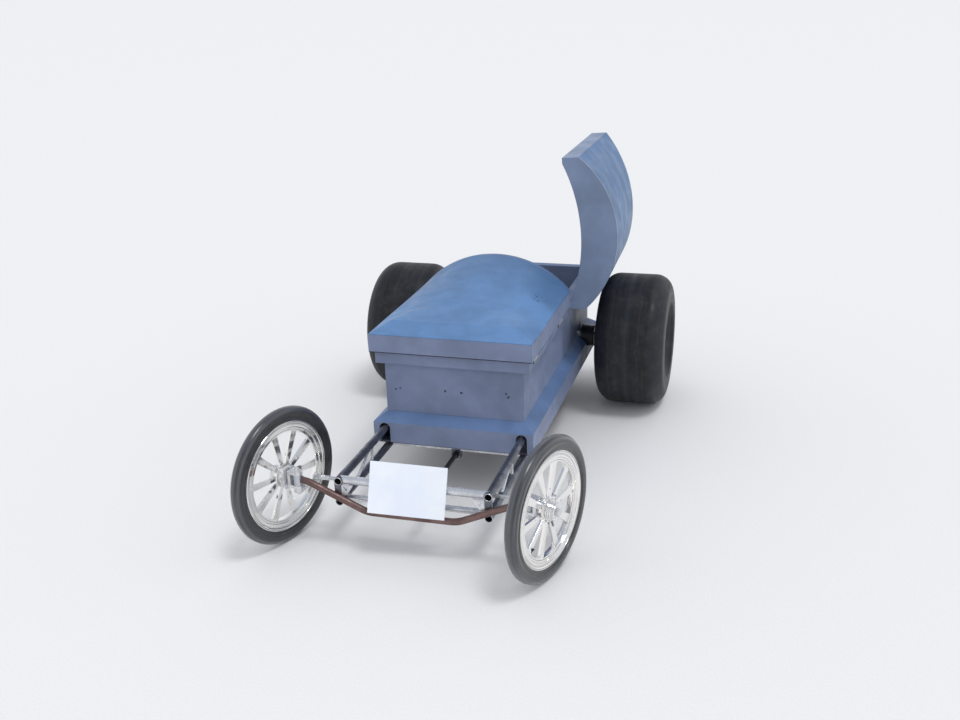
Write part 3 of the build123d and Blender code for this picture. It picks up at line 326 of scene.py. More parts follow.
def painted(name, colour, wear, rough, grain=500.0, metallic=0.0, flake=0.35):
    """Enamel or a bare casting with a grain and worn flecks."""
    skin = Surface(name)
    worn = skin.patches((40.0, 6.0, 0.68, 0.4), 0.58, 0.74, 0.0, flake)
    tone = skin.patches((9.0, 3.0), 0.3, 0.7)
    return skin.finish(
        base_color=skin.mix(worn, skin.mix(tone, toned(colour, 0.86), toned(colour, 1.1)), wear),
        roughness=skin.patches((25.0, 3.0), 0.3, 0.7, rough - 0.06, rough + 0.08),
        normal=skin.bump(skin.noise(grain, 3.0), 0.12, 0.0007),
        metallic=metallic,
    )


def grained_vinyl(name, colour, crease):
    """Vinyl with round pores, a cloudy tone and a soft sheen."""
    skin = Surface(name)
    pores = skin.node("TexVoronoi", vector=skin.here, scale=380.0)
    tone = skin.noise(14.0, 4.0)
    return skin.finish(
        base_color=skin.mix(skin.curve(tone, 0.35, 0.7), colour, crease),
        roughness=skin.curve(tone, 0.3, 0.7, 0.42, 0.58),
        normal=skin.bump(pores.outputs["Distance"], 0.25, 0.0008),
    )


def card_stock(name):
    """White card with faint fibres."""
    skin = Surface(name)
    wash = skin.patches((9.0, 3.0), 0.3, 0.7)
    return skin.finish(
        base_color=skin.mix(wash, rgb(243, 248, 255), rgb(234, 241, 254)),
        roughness=0.55,
        normal=skin.bump(skin.noise(300.0, 4.0, 0.7), 0.08, 0.0004),
    )


def studio_floor(name):
    """A pale floor that takes the car's shadow."""
    skin = Surface(name)
    fleck = skin.patches((160.0, 2.0), 0.3, 0.7)
    return skin.finish(
        base_color=skin.mix(fleck, rgb(226, 226, 227), rgb(230, 230, 231)),
        roughness=0.9, specular_ior_level=0.2,
    )


# The finish of each carried-over piece
NODE_FINISH = {
    "primer": "casket_base casket_panels body_flange lid_bridge foot_lid_rim foot_lid_header",
    "crown": "foot_lid_crown head_lid_crown",
    "open_lid": "head_lid_rim head_lid_header",
    "inside": "floor_board cockpit_partition",
    "rail": "frame_rails axle_uprights axle_hangers steering_shaft_bearings",
    "bright": "cross_tubes frame_struts axle_gussets tie_rod rear_axle sprocket",
    "axle": "front_axle",
    "silver": "knuckle_left knuckle_right front_hub_left front_hub_right",
    "chrome_left": "front_rim_left",
    "chrome_right": "front_rim_right",
    "hinge": "body_hinge_leaves foot_lid_hinge_leaves head_lid_hinge_leaves",
    "black": "column_post lower_steering_shaft steering_column bearing_housings",
    "engine": "engine_block",
    "grip": "steering_wheel",
    "vinyl": "seat_cushion seat_back",
    "wheel_alloy": "rear_rim_left rear_rim_right",
    "rear_rubber": "rear_tyre_left rear_tyre_right",
    "front_rubber_left": "front_tyre_left",
    "front_rubber_right": "front_tyre_right",
}
# How far the edges of some of them are rounded
EDGE_ROUNDING = {
    "front_rim_left": 0.0008, "front_rim_right": 0.0008, "knuckle_left": 0.001, "knuckle_right": 0.001,
    "engine_block": 0.002, "axle_uprights": 0.001, "axle_gussets": 0.0006,
}


# Helpers for new pieces


def new_piece(name, mesh, body, finish, smooth=True):
    """A piece from a bmesh: it is placed in its mesh, rides on a body and takes a finish and a slot."""
    bmesh.ops.recalc_face_normals(mesh, faces=mesh.faces)
    data = bpy.data.meshes.new(name)
    mesh.to_mesh(data)
    mesh.free()
    piece = bpy.data.objects.new(name, data)
    bpy.context.scene.collection.objects.link(piece)
    data.materials.append(FINISH[finish])
    if smooth:
        for polygon in data.polygons:
            polygon.use_smooth = True
        data.set_sharp_from_angle(angle=math.radians(35))
    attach(piece, body)
    return piece


def turned_to(direction):
    """The rotation that takes +Z to a direction."""
    return Vector(direction).to_track_quat("Z", "Y").to_matrix().to_4x4()


def standing(point, direction=(0, 0, 1)):
    """The place of something that stands on a point, along a direction."""
    return Matrix.Translation(point) @ turned_to(direction)


def raised(place, height):
    """A place moved along its own +Z."""
    return place @ Matrix.Translation((0, 0, height))


def around_axis(place, radius, count, phase=0.0, level=0.0):
    """Places on a circle about place's +Z."""
    for index in range(count):
        turn = Matrix.Rotation(phase + TURN * index / count, 4, "Z")
        yield place @ turn @ Matrix.Translation((radius, 0, level))


def soften(mesh, edges, width):
    """Rounds edges in two steps."""
    bmesh.ops.bevel(
        mesh, geom=list(edges), offset=width, affect="EDGES", segments=2, profile=0.5, material=-1,
    )


def add_disc(mesh, place, radius, height, sides=24, bevel=0.0):
    """A short cylinder that stands on place, along its +Z, with a bevelled top edge."""
    made = bmesh.ops.create_cone(
        mesh, cap_ends=True, segments=sides, radius1=radius, radius2=radius, depth=height,
        matrix=raised(place, height / 2),
    )["verts"]
    if bevel:
        peak = place @ Vector((0, 0, height))
        axis = place.to_3x3() @ Vector((0, 0, 1))
        soften(mesh, {
            edge for vertex in made for edge in vertex.link_edges
            if all(abs((corner.co - peak).dot(axis)) < height * 0.1 for corner in edge.verts)
        }, bevel)


def add_stack(mesh, place, discs):
    """Discs on one axis, each given by its level, radius, height, sides and bevel."""
    for level, *disc in discs:
        add_disc(mesh, raised(place, level), *disc)


def add_block(mesh, low, high, bevel):
    """A box given by its corners, with its edges rounded."""
    low, high = Vector(low), Vector(high)
    place = Matrix.Translation((low + high) / 2) @ Matrix.Diagonal((*(high - low), 1))
    made = bmesh.ops.create_cube(mesh, size=1.0, matrix=place)["verts"]
    soften(mesh, {edge for vertex in made for edge in vertex.link_edges}, bevel)


def add_ring(mesh, place, radius, section, turns=96, section_sides=12):
    """A round-section ring about place's +Z."""
    circle = bmesh.ops.create_circle(
        mesh, segments=section_sides, radius=section,
        matrix=Matrix.Translation((radius, 0, 0)) @ Matrix.Rotation(math.pi / 2, 4, "X"),
    )["verts"]
    edges = list({edge for vertex in circle for edge in vertex.link_edges})
    before = set(mesh.verts) - set(circle)
    bmesh.ops.spin(
        mesh, geom=circle + edges, cent=(0, 0, 0), axis=(0, 0, 1), angle=TURN, steps=turns, use_merge=True,
    )
    ring = [vertex for vertex in mesh.verts if vertex not in before]
    bmesh.ops.transform(mesh, matrix=place, verts=ring)


def add_bolt(mesh, place, across, head, shank=0.0, washer=True):
    """A hexagonal head that stands on place, along its +Z, on a washer, with its shank's end showing."""
    if washer:
        washer_height = head * 0.22
        add_disc(mesh, place, across * 0.72, washer_height, 20, head * 0.06)
        place = raised(place, washer_height)
    add_disc(mesh, place, across / math.sqrt(3), head, 6, head * 0.12)
    if shank:
        add_disc(mesh, raised(place, head), across * 0.27, shank, 14, across * 0.05)


def add_bead(mesh, points, radius, ripple):
    """A closed round bead of weld along points, its thickness rippled."""
    curve = bpy.data.curves.new("bead", "CURVE")
    curve.dimensions = "3D"
    curve.bevel_depth = radius
    curve.bevel_resolution = 1
    spline = curve.splines.new("POLY")
    spline.points.add(len(points) - 1)
    spline.use_cyclic_u = True
    for index, (target, point) in enumerate(zip(spline.points, points)):
        target.co = (*point, 1.0)
        target.radius = 1.0 + ripple * (index % 3 - 1)
    line = bpy.data.objects.new("bead", curve)
    data = bpy.data.meshes.new_from_object(line)
    mesh.from_mesh(data)
    bpy.data.objects.remove(line)
    bpy.data.curves.remove(curve)
    bpy.data.meshes.remove(data)


def land(node, start, direction):
    """Where a ray first meets a carried-over piece."""
    data = frame["nodes"][node].data
    tree = BVHTree.FromPolygons([v.co for v in data.vertices], [p.vertices for p in data.polygons])
    point = tree.ray_cast(Vector(start), Vector(direction))[0]
    if point is None:
        raise RuntimeError(f"nothing of {node} lies that way")
    return point


def kept_settings(context):
    return context.scene.drag_car


def colour_setting(label, description, *channels):
    return bpy.props.FloatVectorProperty(
        name=label, description=description, default=rgb(*channels), size=4, subtype="COLOR",
        min=0.0, max=1.0,
    )


def length_setting(label, description, metres):
    return bpy.props.FloatProperty(name=label, description=description, default=metres, unit="LENGTH")


def angle_setting(label, description, radians):
    return bpy.props.FloatProperty(name=label, description=description, default=radians, subtype="ANGLE")


def strength_setting(label, description, strength):
    return bpy.props.FloatProperty(name=label, description=description, default=strength, min=0.0)


def count_setting(label, description, count, least):
    return bpy.props.IntProperty(name=label, description=description, default=count, min=least)


class DragCarSettings(bpy.types.PropertyGroup):
    # Painted light: the top and wall colours are sky-lit and shaded copies of one grey primer
    primer_top_sky_lit: colour_setting("Primer on top", "Primer on surfaces that face up", 88, 114, 156)
    # Painted light: the crowns' colour is a sky-lit copy of the primer, on their walls as on their tops
    primer_crown_sky_lit: colour_setting("Primer on the crowns", "Primer on the lids' crowns", 89, 128, 176)
    primer_wall_shaded: colour_setting("Primer on walls", "Primer on upright surfaces", 118, 130, 160)
    lid_primer: colour_setting("Open lid", "Primer of the open head lid's frame", 112, 128, 156)
    rail_colour: colour_setting("Rails", "Steel of the frame rails", 98, 101, 110)
    axle_colour: colour_setting("Axle", "Brown steel of the front axle", 122, 98, 94)
    rubber_colour: colour_setting("Rubber", "Rubber of the slicks", 15, 17, 23)
    card_width: length_setting("Card width", "Width of the blank card on the front frame", 0.2289)
    card_height: length_setting("Card height", "Height of the blank card", 0.1556)
    card_lean: angle_setting("Card lean", "How far the card turns in its own plane", -0.0705)
    card_tilt: angle_setting("Card tilt", "How far the card's top leans back", 0.248)
    bolt_across: length_setting("Bolt size", "Width across the flats of a frame bolt", 0.010)
    weld_radius: length_setting("Weld bead", "Radius of the weld beads on the frame", 0.0017)
    lug_nut_across: length_setting("Lug nut size", "Width across the flats of a rear lug nut", 0.017)
    lug_nuts: count_setting("Lug nuts", "Number of lug nuts on each rear wheel", 5, 3)
    seat_puff: length_setting("Seat puff", "How far the filling swells the seat", 0.008)
    cooling_fins: count_setting("Cooling fins", "Number of fins round the engine's cylinder", 8, 1)
    floor_size: length_setting("Floor size", "Side of the studio floor", 400.0)
    lamp_strength: strength_setting("Key lamp", "Strength of the large soft lamp", 0.9)
    sky_strength: strength_setting("Sky strength", "Strength of the even light from all round", 0.9)


class DRAGCAR_OT_stage(bpy.types.Operator):
    """Make the pale floor, the soft studio light and the camera at the photograph's angle"""

    bl_idname = "dragcar.stage"
    bl_label = "Studio"

    sky_light = (0.95, 0.97, 1.0, 1.0)
    horizon = (0.86, 0.87, 0.88, 1.0)
    zenith = (0.34, 0.40, 0.50, 1.0)
    lamp_place = (1.5, -0.9, 4.4)
    lamp_angle = 16
    camera_place = (1.0049, -3.3075, 1.653)
    # Yaw, pitch down and roll in degrees
    camera_angles = (16.632, 20.369, -1.772)
    sensor_width = 36.0
    focal_pixels = 1067.69
    frame_pixels = 960

    def execute(self, context):
        settings = kept_settings(context)
        scene = context.scene
        mesh = bmesh.new()
        bmesh.ops.create_grid(mesh, x_segments=1, y_segments=1, size=settings.floor_size / 2)
        data = bpy.data.meshes.new("studio_floor")
        mesh.to_mesh(data)
        mesh.free()
        floor = bpy.data.objects.new("studio_floor", data)
        scene.collection.objects.link(floor)
        data.materials.append(studio_floor("Studio floor"))
        floor.location.z = -0.001
        self.light_world(scene, settings)
        self.hang_lamp(scene, settings)
        self.aim_camera(scene)
        scene.view_settings.view_transform = "Standard"
        return {"FINISHED"}

    def light_world(self, scene, settings):
        """An even light; the camera, gloss and glass see a sky that darkens from the horizon up."""
        world = bpy.data.worlds.new("Studio sky")
        world.use_nodes = True
        scene.world = world
        sky = Nodes(world.node_tree)
        lit = sky.tree.nodes["Background"]
        sky.put(lit.inputs["Color"], self.sky_light)
        sky.put(lit.inputs["Strength"], settings.sky_strength)
        height = sky.axis(sky.coordinates("Object"), "Z")
        rise = sky.node("MapRange", value=height, from_min=0.15, from_max=0.95).outputs["Result"]
        seen = sky.node("Background", color=sky.mix(rise, self.horizon, self.zenith))
        rays = sky.node("LightPath").outputs
        seen_ray = rays["Is Camera Ray"]
        for kind in ("Is Glossy Ray", "Is Transmission Ray"):
            seen_ray = sky.math("MAXIMUM", seen_ray, rays[kind])
        choice = sky.node("MixShader", fac=seen_ray)
        sky.put(choice.inputs[1], lit.outputs[0])
        sky.put(choice.inputs[2], seen.outputs[0])
        sky.put(sky.tree.nodes["World Output"].inputs["Surface"], choice.outputs[0])

    def hang_lamp(self, scene, settings):
        lamp = bpy.data.lights.new("key_lamp", "SUN")
        lamp.angle = math.radians(self.lamp_angle)
        lamp.energy = settings.lamp_strength
        hung = bpy.data.objects.new("key_lamp", lamp)
        hung.location = self.lamp_place
        hung.rotation_euler = (-Vector(self.lamp_place)).to_track_quat("-Z", "Y").to_euler()
        scene.collection.objects.link(hung)

    def aim_camera(self, scene):
        yaw, pitch, roll = (math.radians(angle) for angle in self.camera_angles)
        turn = (
            Matrix.Rotation(yaw, 4, "Z")
            @ Matrix.Rotation(math.pi / 2 - pitch, 4, "X")
            @ Matrix.Rotation(roll, 4, "Z")
        )
        camera = bpy.data.objects.new("photo_camera", bpy.data.cameras.new("photo_camera"))
        camera.data.sensor_width = self.sensor_width
        camera.data.lens = self.sensor_width * self.focal_pixels / self.frame_pixels
        camera.matrix_world = Matrix.Translation(self.camera_place) @ turn
        scene.collection.objects.link(camera)
        scene.camera = camera


class DRAGCAR_OT_mix_finishes(bpy.types.Operator):
    """Mix the primer, steel, chrome, rubber, vinyl and card that the pieces wear"""

    bl_idname = "dragcar.mix_finishes"
    bl_label = "Mix the finishes"

    chips = (0.208, 0.075, 0.578)
    # Where the front tyres' lighter band of wear and painted sheen begins
    worn_sheen_radius = 0.196
    axle_boss_x = 0.344

    def execute(self, context):
        settings = kept_settings(context)
        crown, lid, rail = settings.primer_crown_sky_lit, settings.lid_primer, settings.rail_colour
        axle, rubber = settings.axle_colour, settings.rubber_colour
        rear = joint("rear_axle_spin")
        FINISH.update(
            primer=sprayed_primer("Grey primer", settings.primer_top_sky_lit, settings.primer_wall_shaded),
            # Painted light: the crowns wear the sky-lit copy all over and are painted darker towards the
            # back as shade
            crown=sprayed_primer(
                "Grey primer on the crowns", crown, crown, 0.17, 0.45, chipped_at=self.chips,
            ),
            crown_fill=sprayed_primer("Grey primer on the crown's fill", crown, crown, 0.17, 0.45, 0.0),
            # Painted light: the open lid's tops are a 12% lighter, sky-lit copy of its primer
            open_lid=sprayed_primer("Grey primer on the open lid", toned(lid, 1.12), lid),
            # Painted shade: the primer inside the casket is a darker copy of the outside's
            inside=sprayed_primer("Dim primer inside", rgb(72, 76, 94), rgb(70, 68, 84)),
            rail=bare_steel("Rail tube", toned(rail, 0.8), toned(rail, 1.6), 0.26, 0.8, 0.1),
            bright=bare_steel("Bright tube", rgb(198, 199, 204), rgb(234, 235, 239), 0.28, 0.7),
            axle=bare_steel(
                "Brown axle tube", toned(axle, 0.72), toned(axle, 1.25), 0.34, 0.7, 0.3, self.axle_boss_x,
            ),
            silver=painted("Silver forging", rgb(230, 230, 232), rgb(158, 152, 148), 0.26, 300.0, 0.7, 0.22),
            hinge=bare_steel("Hinge steel", rgb(176, 182, 192), rgb(236, 239, 244), 0.3, 0.5),
            black=painted("Black enamel", rgb(26, 26, 29), rgb(70, 62, 56), 0.32),
            engine=painted("Cast iron", rgb(64, 64, 68), rgb(104, 92, 82), 0.55, 160.0, 0.4),
            grip=grained_vinyl("Wheel grip", rgb(22, 22, 24), rgb(40, 40, 42)),
            vinyl=grained_vinyl("Seat vinyl", rgb(34, 34, 38), rgb(56, 56, 60)),
            card=card_stock("Blank card"),
            wheel_alloy=painted("Cast wheel", rgb(150, 152, 158), rgb(92, 86, 80), 0.36, 260.0, 0.8, 0.5),
            rear_rubber=worn_rubber(
                "Slick rubber", rear["pos_m"], rear["axis"], dark=rubber, worn=toned(rubber, 2.6),
                edge=rgb(62, 58, 60), rough=0.58, ring_scale=26.0, gloss=0.1,
            ),
        )
        for side in SIDES:
            spin = joint(f"front_wheel_{side}_spin")
            FINISH[f"front_rubber_{side}"] = worn_rubber(
                f"Front rubber {side}", spin["pos_m"], spin["axis"], dark=rgb(10, 11, 15),
                worn=rgb(25, 29, 37), edge=rgb(104, 107, 114), rough=0.42, ring_scale=60.0, gloss=1.0,
                worn_sheen_from=self.worn_sheen_radius,
            )
            FINISH[f"chrome_{side}"] = polished_chrome(f"Chrome {side}", spin["pos_m"], spin["axis"])
        return {"FINISHED"}


class DRAGCAR_OT_finish_frame(bpy.types.Operator):
    """Give each carried-over piece its finish, and round the edges of some a little"""

    bl_idname = "dragcar.finish_frame"
    bl_label = "Finish the frame"

    def execute(self, context):
        for finish, nodes in NODE_FINISH.items():
            for node in nodes.split():
                piece = frame["nodes"][node]
                piece.data.materials.clear()
                piece.data.materials.append(FINISH[finish])
        for node, width in EDGE_ROUNDING.items():
            piece = frame["nodes"][node]
            weld = piece.modifiers.new("weld", "WELD")
            weld.merge_threshold = 0.00002
            bevel = piece.modifiers.new("edges", "BEVEL")
            bevel.width = width
            bevel.segments = 2
            bevel.limit_method = "ANGLE"
            bevel.angle_limit = math.radians(24)
        return {"FINISHED"}


class DRAGCAR_OT_card(bpy.types.Operator):
    """Hang the blank card in front of the cross tube, on two small clamps"""

    bl_idname = "dragcar.card"
    bl_label = "Blank card"

    thickness = 0.0012
    card_centre = (-0.0047, -0.708, 0.2231)
    card_turn = 0.1574
    clamp_xs = (-0.055, 0.045)
    clamp_radius = 0.0133
    wire_radius = 0.0009
    wire_shift = 0.002
    card_shift = 0.01
    pin_root = 0.012
    pin_radius = 0.0022
    pad_inset = 0.0022
    pad_radius = 0.0055
    pad_thickness = 0.0012

    def execute(self, context):
        settings = kept_settings(context)
        mesh = bmesh.new()
        bmesh.ops.create_grid(mesh, x_segments=12, y_segments=8, size=0.5)
        bmesh.ops.scale(mesh, vec=(settings.card_width, settings.card_height, 1), verts=mesh.verts)
        bmesh.ops.solidify(mesh, geom=mesh.faces[:], thickness=self.thickness)
        place = (
            Matrix.Translation(self.card_centre)
            @ Matrix.Rotation(self.card_turn, 4, "Z")
            @ Matrix.Rotation(math.pi / 2 - settings.card_tilt, 4, "X")
            @ Matrix.Rotation(settings.card_lean, 4, "Z")
        )
        bmesh.ops.transform(mesh, matrix=place, verts=mesh.verts)
        new_piece("entry_card", mesh, "chassis", "card", smooth=False)
        clamps = bmesh.new()
        for x in self.clamp_xs:
            centre = Vector((x, UPPER_TUBE_Y, HIGH_RAIL))
            for way in (-1, 1):
                wire = standing(centre + Vector((way * self.wire_shift, 0, 0)), (1, 0, 0))
                add_ring(clamps, wire, self.clamp_radius, self.wire_radius, 40, 8)
            back = place @ Vector((x + self.card_shift, 0, -self.thickness / 2))
            towards = (back - centre).normalized()
            root = centre + towards * self.pin_root
            pin_length = max((back - root).length - 0.001, 0.001)
            add_disc(clamps, standing(root, towards), self.pin_radius, pin_length, 12)
            pad = standing(back - towards * self.pad_inset, towards)
            add_disc(clamps, pad, self.pad_radius, self.pad_thickness, 20, 0.0003)
        new_piece("card_clamps", clamps, "chassis", "bright")
        return {"FINISHED"}


class DRAGCAR_OT_frame_welds(bpy.types.Operator):
    """Run the weld beads of the front frame, and turn the lips of the open rail ends"""

    bl_idname = "dragcar.frame_welds"
    bl_label = "Frame welds"

    cross_tubes = ((HIGH_RAIL, UPPER_TUBE_Y, 0.0127), (LOW_RAIL, -0.65095, 0.0095))
    strut_ends = ((-0.41495, -0.41495), (-0.55495, -0.41495))
    strut_radius = 0.0055
    strut_inset = 0.0128
    axle_boss = (0.3448, -0.69595, 0.215)
    axle_boss_radius = 0.0106
    rail_end_y = -0.68555
    lip_radius = 0.0117
    lip_section = 0.0011
    bead_points = 48

    def saddle(self, side, level, y, radius, swell):
        """The line where a cross tube meets the inner side of a rail, a little outside both."""
        points = []
        for step in range(self.bead_points):
            angle = TURN * step / self.bead_points
            drop = (radius + swell) * math.sin(angle)
            reach = math.sqrt(RAIL_RADIUS**2 - min(drop**2, RAIL_RADIUS**2)) + swell
            points.append((side * (RAIL_X - reach), y + (radius + swell) * math.cos(angle), level + drop))
        return points

    def execute(self, context):
        bead = kept_settings(context).weld_radius
        welds = bmesh.new()
        lips = bmesh.new()
        for side in (-1, 1):
            for level, y, radius in self.cross_tubes:
                add_bead(welds, self.saddle(side, level, y, radius, bead * 0.3), bead, 0.16)
            for low_y, high_y in self.strut_ends:
                low = Vector((side * RAIL_X, low_y, LOW_RAIL))
                high = Vector((side * RAIL_X, high_y, HIGH_RAIL))
                along = (high - low).normalized()
                for end, way in ((low, along), (high, -along)):
                    seat = standing(end + way * self.strut_inset, way)
                    add_ring(welds, seat, self.strut_radius, bead * 0.9, 24, 8)
            x, y, level = self.axle_boss
            add_ring(welds, standing((side * x, y, level), (1, 0, 0)), self.axle_boss_radius, bead, 36, 8)
            for level in (LOW_RAIL, HIGH_RAIL):
                lip = standing((side * RAIL_X, self.rail_end_y, level), (0, 1, 0))
                add_ring(lips, lip, self.lip_radius, self.lip_section, 48, 10)
        new_piece("frame_weld_beads", welds, "chassis", "rail")
        new_piece("rail_end_lips", lips, "chassis", "bright")
        return {"FINISHED"}


class DRAGCAR_OT_front_wheels(bpy.types.Operator):
    """Fit the front wheels with rim beads, hub bands, spoke and flange bolts, and valves"""

    bl_idname = "dragcar.front_wheels"
    bl_label = "Front wheel fittings"

    # Each ring's level along the axle, its radius and its section, then the rim rings' sides
    rim_rings = ((0.0142, 0.1702, 0.0014, 10), (0.011076, 0.1515, 0.0010, 8))
    hub_rings = (
        (0.010, 0.0270, 0.0012), (0.0165, 0.0270, 0.0012), (0.023, 0.0270, 0.0012), (0.0306, 0.0215, 0.0016),
    )
    flange = ((-0.0062, 0.0375, 0.0124, 64, 0.0014),)
    valve_angle = 222
    valve_radius = 0.140
    valve = (
        (0, 0.0036, 0.003, 18, 0.0006), (0, 0.0020, 0.016, 16, 0.0004), (0.016, 0.0027, 0.006, 16, 0.0008),
    )
    rib_rings = ((0.1795, 0.0009), (0.1835, 0.0009), (0.2030, 0.0006))

    def execute(self, context):
        for side, outward in SIDES.items():
            body = f"front_wheel_{side}"
            spin = joint(f"{body}_spin")
            axle = standing(spin["pos_m"], spin["axis"])
            out = axle @ Matrix.Rotation(0 if outward > 0 else math.pi, 4, "X")
            rings = bmesh.new()
            for way in (-1, 1):
                for level, radius, section, sides in self.rim_rings:
                    add_ring(rings, raised(axle, way * level), radius, section, 120, sides)
            for level, radius, section in self.hub_rings:
                add_ring(rings, raised(out, level), radius, section, 64, 8)
            add_stack(rings, out, self.flange)
            new_piece(f"front_wheel_rings_{side}", rings, body, f"chrome_{side}")
            bolts = bmesh.new()
            for place in around_axis(out, 0.0325, 10, 0.31, 0.0062):
                add_bolt(bolts, place, 0.0052, 0.0030)
            for place in around_axis(out @ Matrix.Rotation(math.pi, 4, "X"), 0.0318, 5, 0.2, 0.022):
                add_bolt(bolts, place, 0.0062, 0.0038, 0.0022, washer=False)
            new_piece(f"front_hub_bolts_{side}", bolts, body, "silver")
            valve = bmesh.new()
            stem = out @ Matrix.Rotation(math.radians(self.valve_angle), 4, "Z")
            stem = stem @ standing((self.valve_radius, 0, 0), (-1, 0, 0.35))
            add_stack(valve, stem, self.valve)
            new_piece(f"front_valve_{side}", valve, body, "black")
            ribs = bmesh.new()
            for way in (-1, 1):
                for radius, section in self.rib_rings:
                    start = axle @ Vector((radius, 0, way * 0.1))
                    hit = land(f"front_tyre_{side}", start, axle.to_3x3() @ Vector((0, 0, -way)))
                    add_ring(ribs, raised(axle, (axle.inverted() @ hit).z), radius, section, 144, 8)
            new_piece(f"front_tyre_ribs_{side}", ribs, body, f"front_rubber_{side}")
        return {"FINISHED"}


class DRAGCAR_OT_steering_fittings(bpy.types.Operator):
    """Fit the knuckles' nuts and bolts, the tie rod's jam nuts and the steering wheel's bolts"""

    bl_idname = "dragcar.steering_fittings"
    bl_label = "Steering fittings"

    kingpin_top = 0.0298
    kingpin_foot = -0.040
    arm_bolt_ys = (0.022, 0.046)
    arm_level = -0.032
    arm_end = (0, 0.080, -0.0172)
    spindle_bolts = (0.028, 0.009, 0.014)
    spindle_collar = 0.029
    tie_rod_length = 0.716
    jam_nut_inset = 0.024
    jam_nut = ((0, 0.0088, 0.006, 6, 0.0008), (0.006, 0.0072, 0.014, 24, 0.001))
    column_length = 0.4942

    def execute(self, context):
        across = kept_settings(context).bolt_across
        for side, outward in SIDES.items():
            steer = joint(f"knuckle_{side}_steer")["pos_m"]
            axis = joint(f"front_wheel_{side}_spin")["axis"]
            place = Matrix.Translation(steer) @ Matrix.Rotation(math.atan2(axis[1], axis[0]), 4, "Z")
            mesh = bmesh.new()
            add_bolt(mesh, raised(place, self.kingpin_top), 0.013, 0.006, 0.003)
            foot = raised(place, self.kingpin_foot) @ Matrix.Rotation(math.pi, 4, "X")
            add_bolt(mesh, foot, across * 1.3, 0.006, 0.003)
            for y in self.arm_bolt_ys:
                add_bolt(mesh, place @ Matrix.Translation((0, y, self.arm_level)), across * 0.8, 0.004)
            add_bolt(mesh, place @ Matrix.Translation(self.arm_end), across, 0.005, 0.003, washer=False)
            x, y, z = self.spindle_bolts
            for back in (-y, y):
                for up in (-z, z):
                    bolt = place @ standing((outward * x, back, up), (outward, 0, 0))
                    add_bolt(mesh, bolt, across * 0.62, 0.003, washer=False)
            collar = place @ standing((outward * self.spindle_collar, 0, 0), (1, 0, 0))
            add_ring(mesh, collar, 0.0092, 0.0018, 36, 8)
            new_piece(f"knuckle_fasteners_{side}", mesh, f"knuckle_{side}", "silver")
        pivot = Vector(joint("tie_rod_pivot")["pos_m"])
        rod = bmesh.new()
        for shift, way in ((-self.jam_nut_inset, -1), (self.jam_nut_inset - self.tie_rod_length, 1)):
            add_stack(rod, standing(pivot + Vector((shift, 0, 0)), (way, 0, 0)), self.jam_nut)
        new_piece("tie_rod_jam_nuts", rod, "tie_rod", "silver")
        wheel = joint("steering_wheel_turn")
        centre = raised(standing(wheel["pos_m"], wheel["axis"]), self.column_length)
        boss = bmesh.new()
        for place in around_axis(centre, 0.0140, 6, 0.3):
            add_bolt(boss, place, 0.0050, 0.0026, washer=False)
        add_disc(boss, centre, 0.0085, 0.0040, 32, 0.0012)
        new_piece("steering_wheel_bolts", boss, "steering_column", "silver")
        return {"FINISHED"}


class DRAGCAR_OT_hinge_screws(bpy.types.Operator):
    """Screw the hinge leaves to the casket, set black blocks behind them as painted shadow, and cap the
    hinge pins
    """

    bl_idname = "dragcar.hinge_screws"
    bl_label = "Hinge screws"

    hinge_ys = (-0.17995, 0.19755, 0.42255, 0.77205)
    leaf_x = 0.2594
    screw_apart = 0.022
    pin_x, pin_level = 0.2635, 0.4815
    pin_half_length = 0.0297
    # Where the black painted-shadow blocks lie
    shadow_pad_xs = (0.2568, 0.2580)
    shadow_pad_half_length = 0.036
    shadow_pad_top = 0.4836

    def execute(self, context):
        screws = bmesh.new()
        shadow_pads = bmesh.new()
        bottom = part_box("body_hinge_leaves")[0].z
        near, far = self.shadow_pad_xs
        for y in self.hinge_ys:
            for way in (-1, 0, 1):
                screw = standing((self.leaf_x, y + way * self.screw_apart, bottom + 0.009), (1, 0, 0))
                add_disc(screws, screw, 0.0030, 0.0009, 20, 0.0003)
            for way in (-1, 1):
                pin = standing((self.pin_x, y + way * self.pin_half_length, self.pin_level), (0, way, 0))
                add_disc(screws, pin, 0.0026, 0.0014, 16, 0.0005)
            # Painted shadow: a black block on the flange behind each hinge
            corner = (near, y - self.shadow_pad_half_length, bottom - 0.004)
            add_block(shadow_pads, corner, (far, y + self.shadow_pad_half_length, self.shadow_pad_top), 0.0004)
        new_piece("hinge_screws", screws, "chassis", "silver")
        new_piece("hinge_shadow_pads", shadow_pads, "chassis", "black", smooth=False)
        return {"FINISHED"}


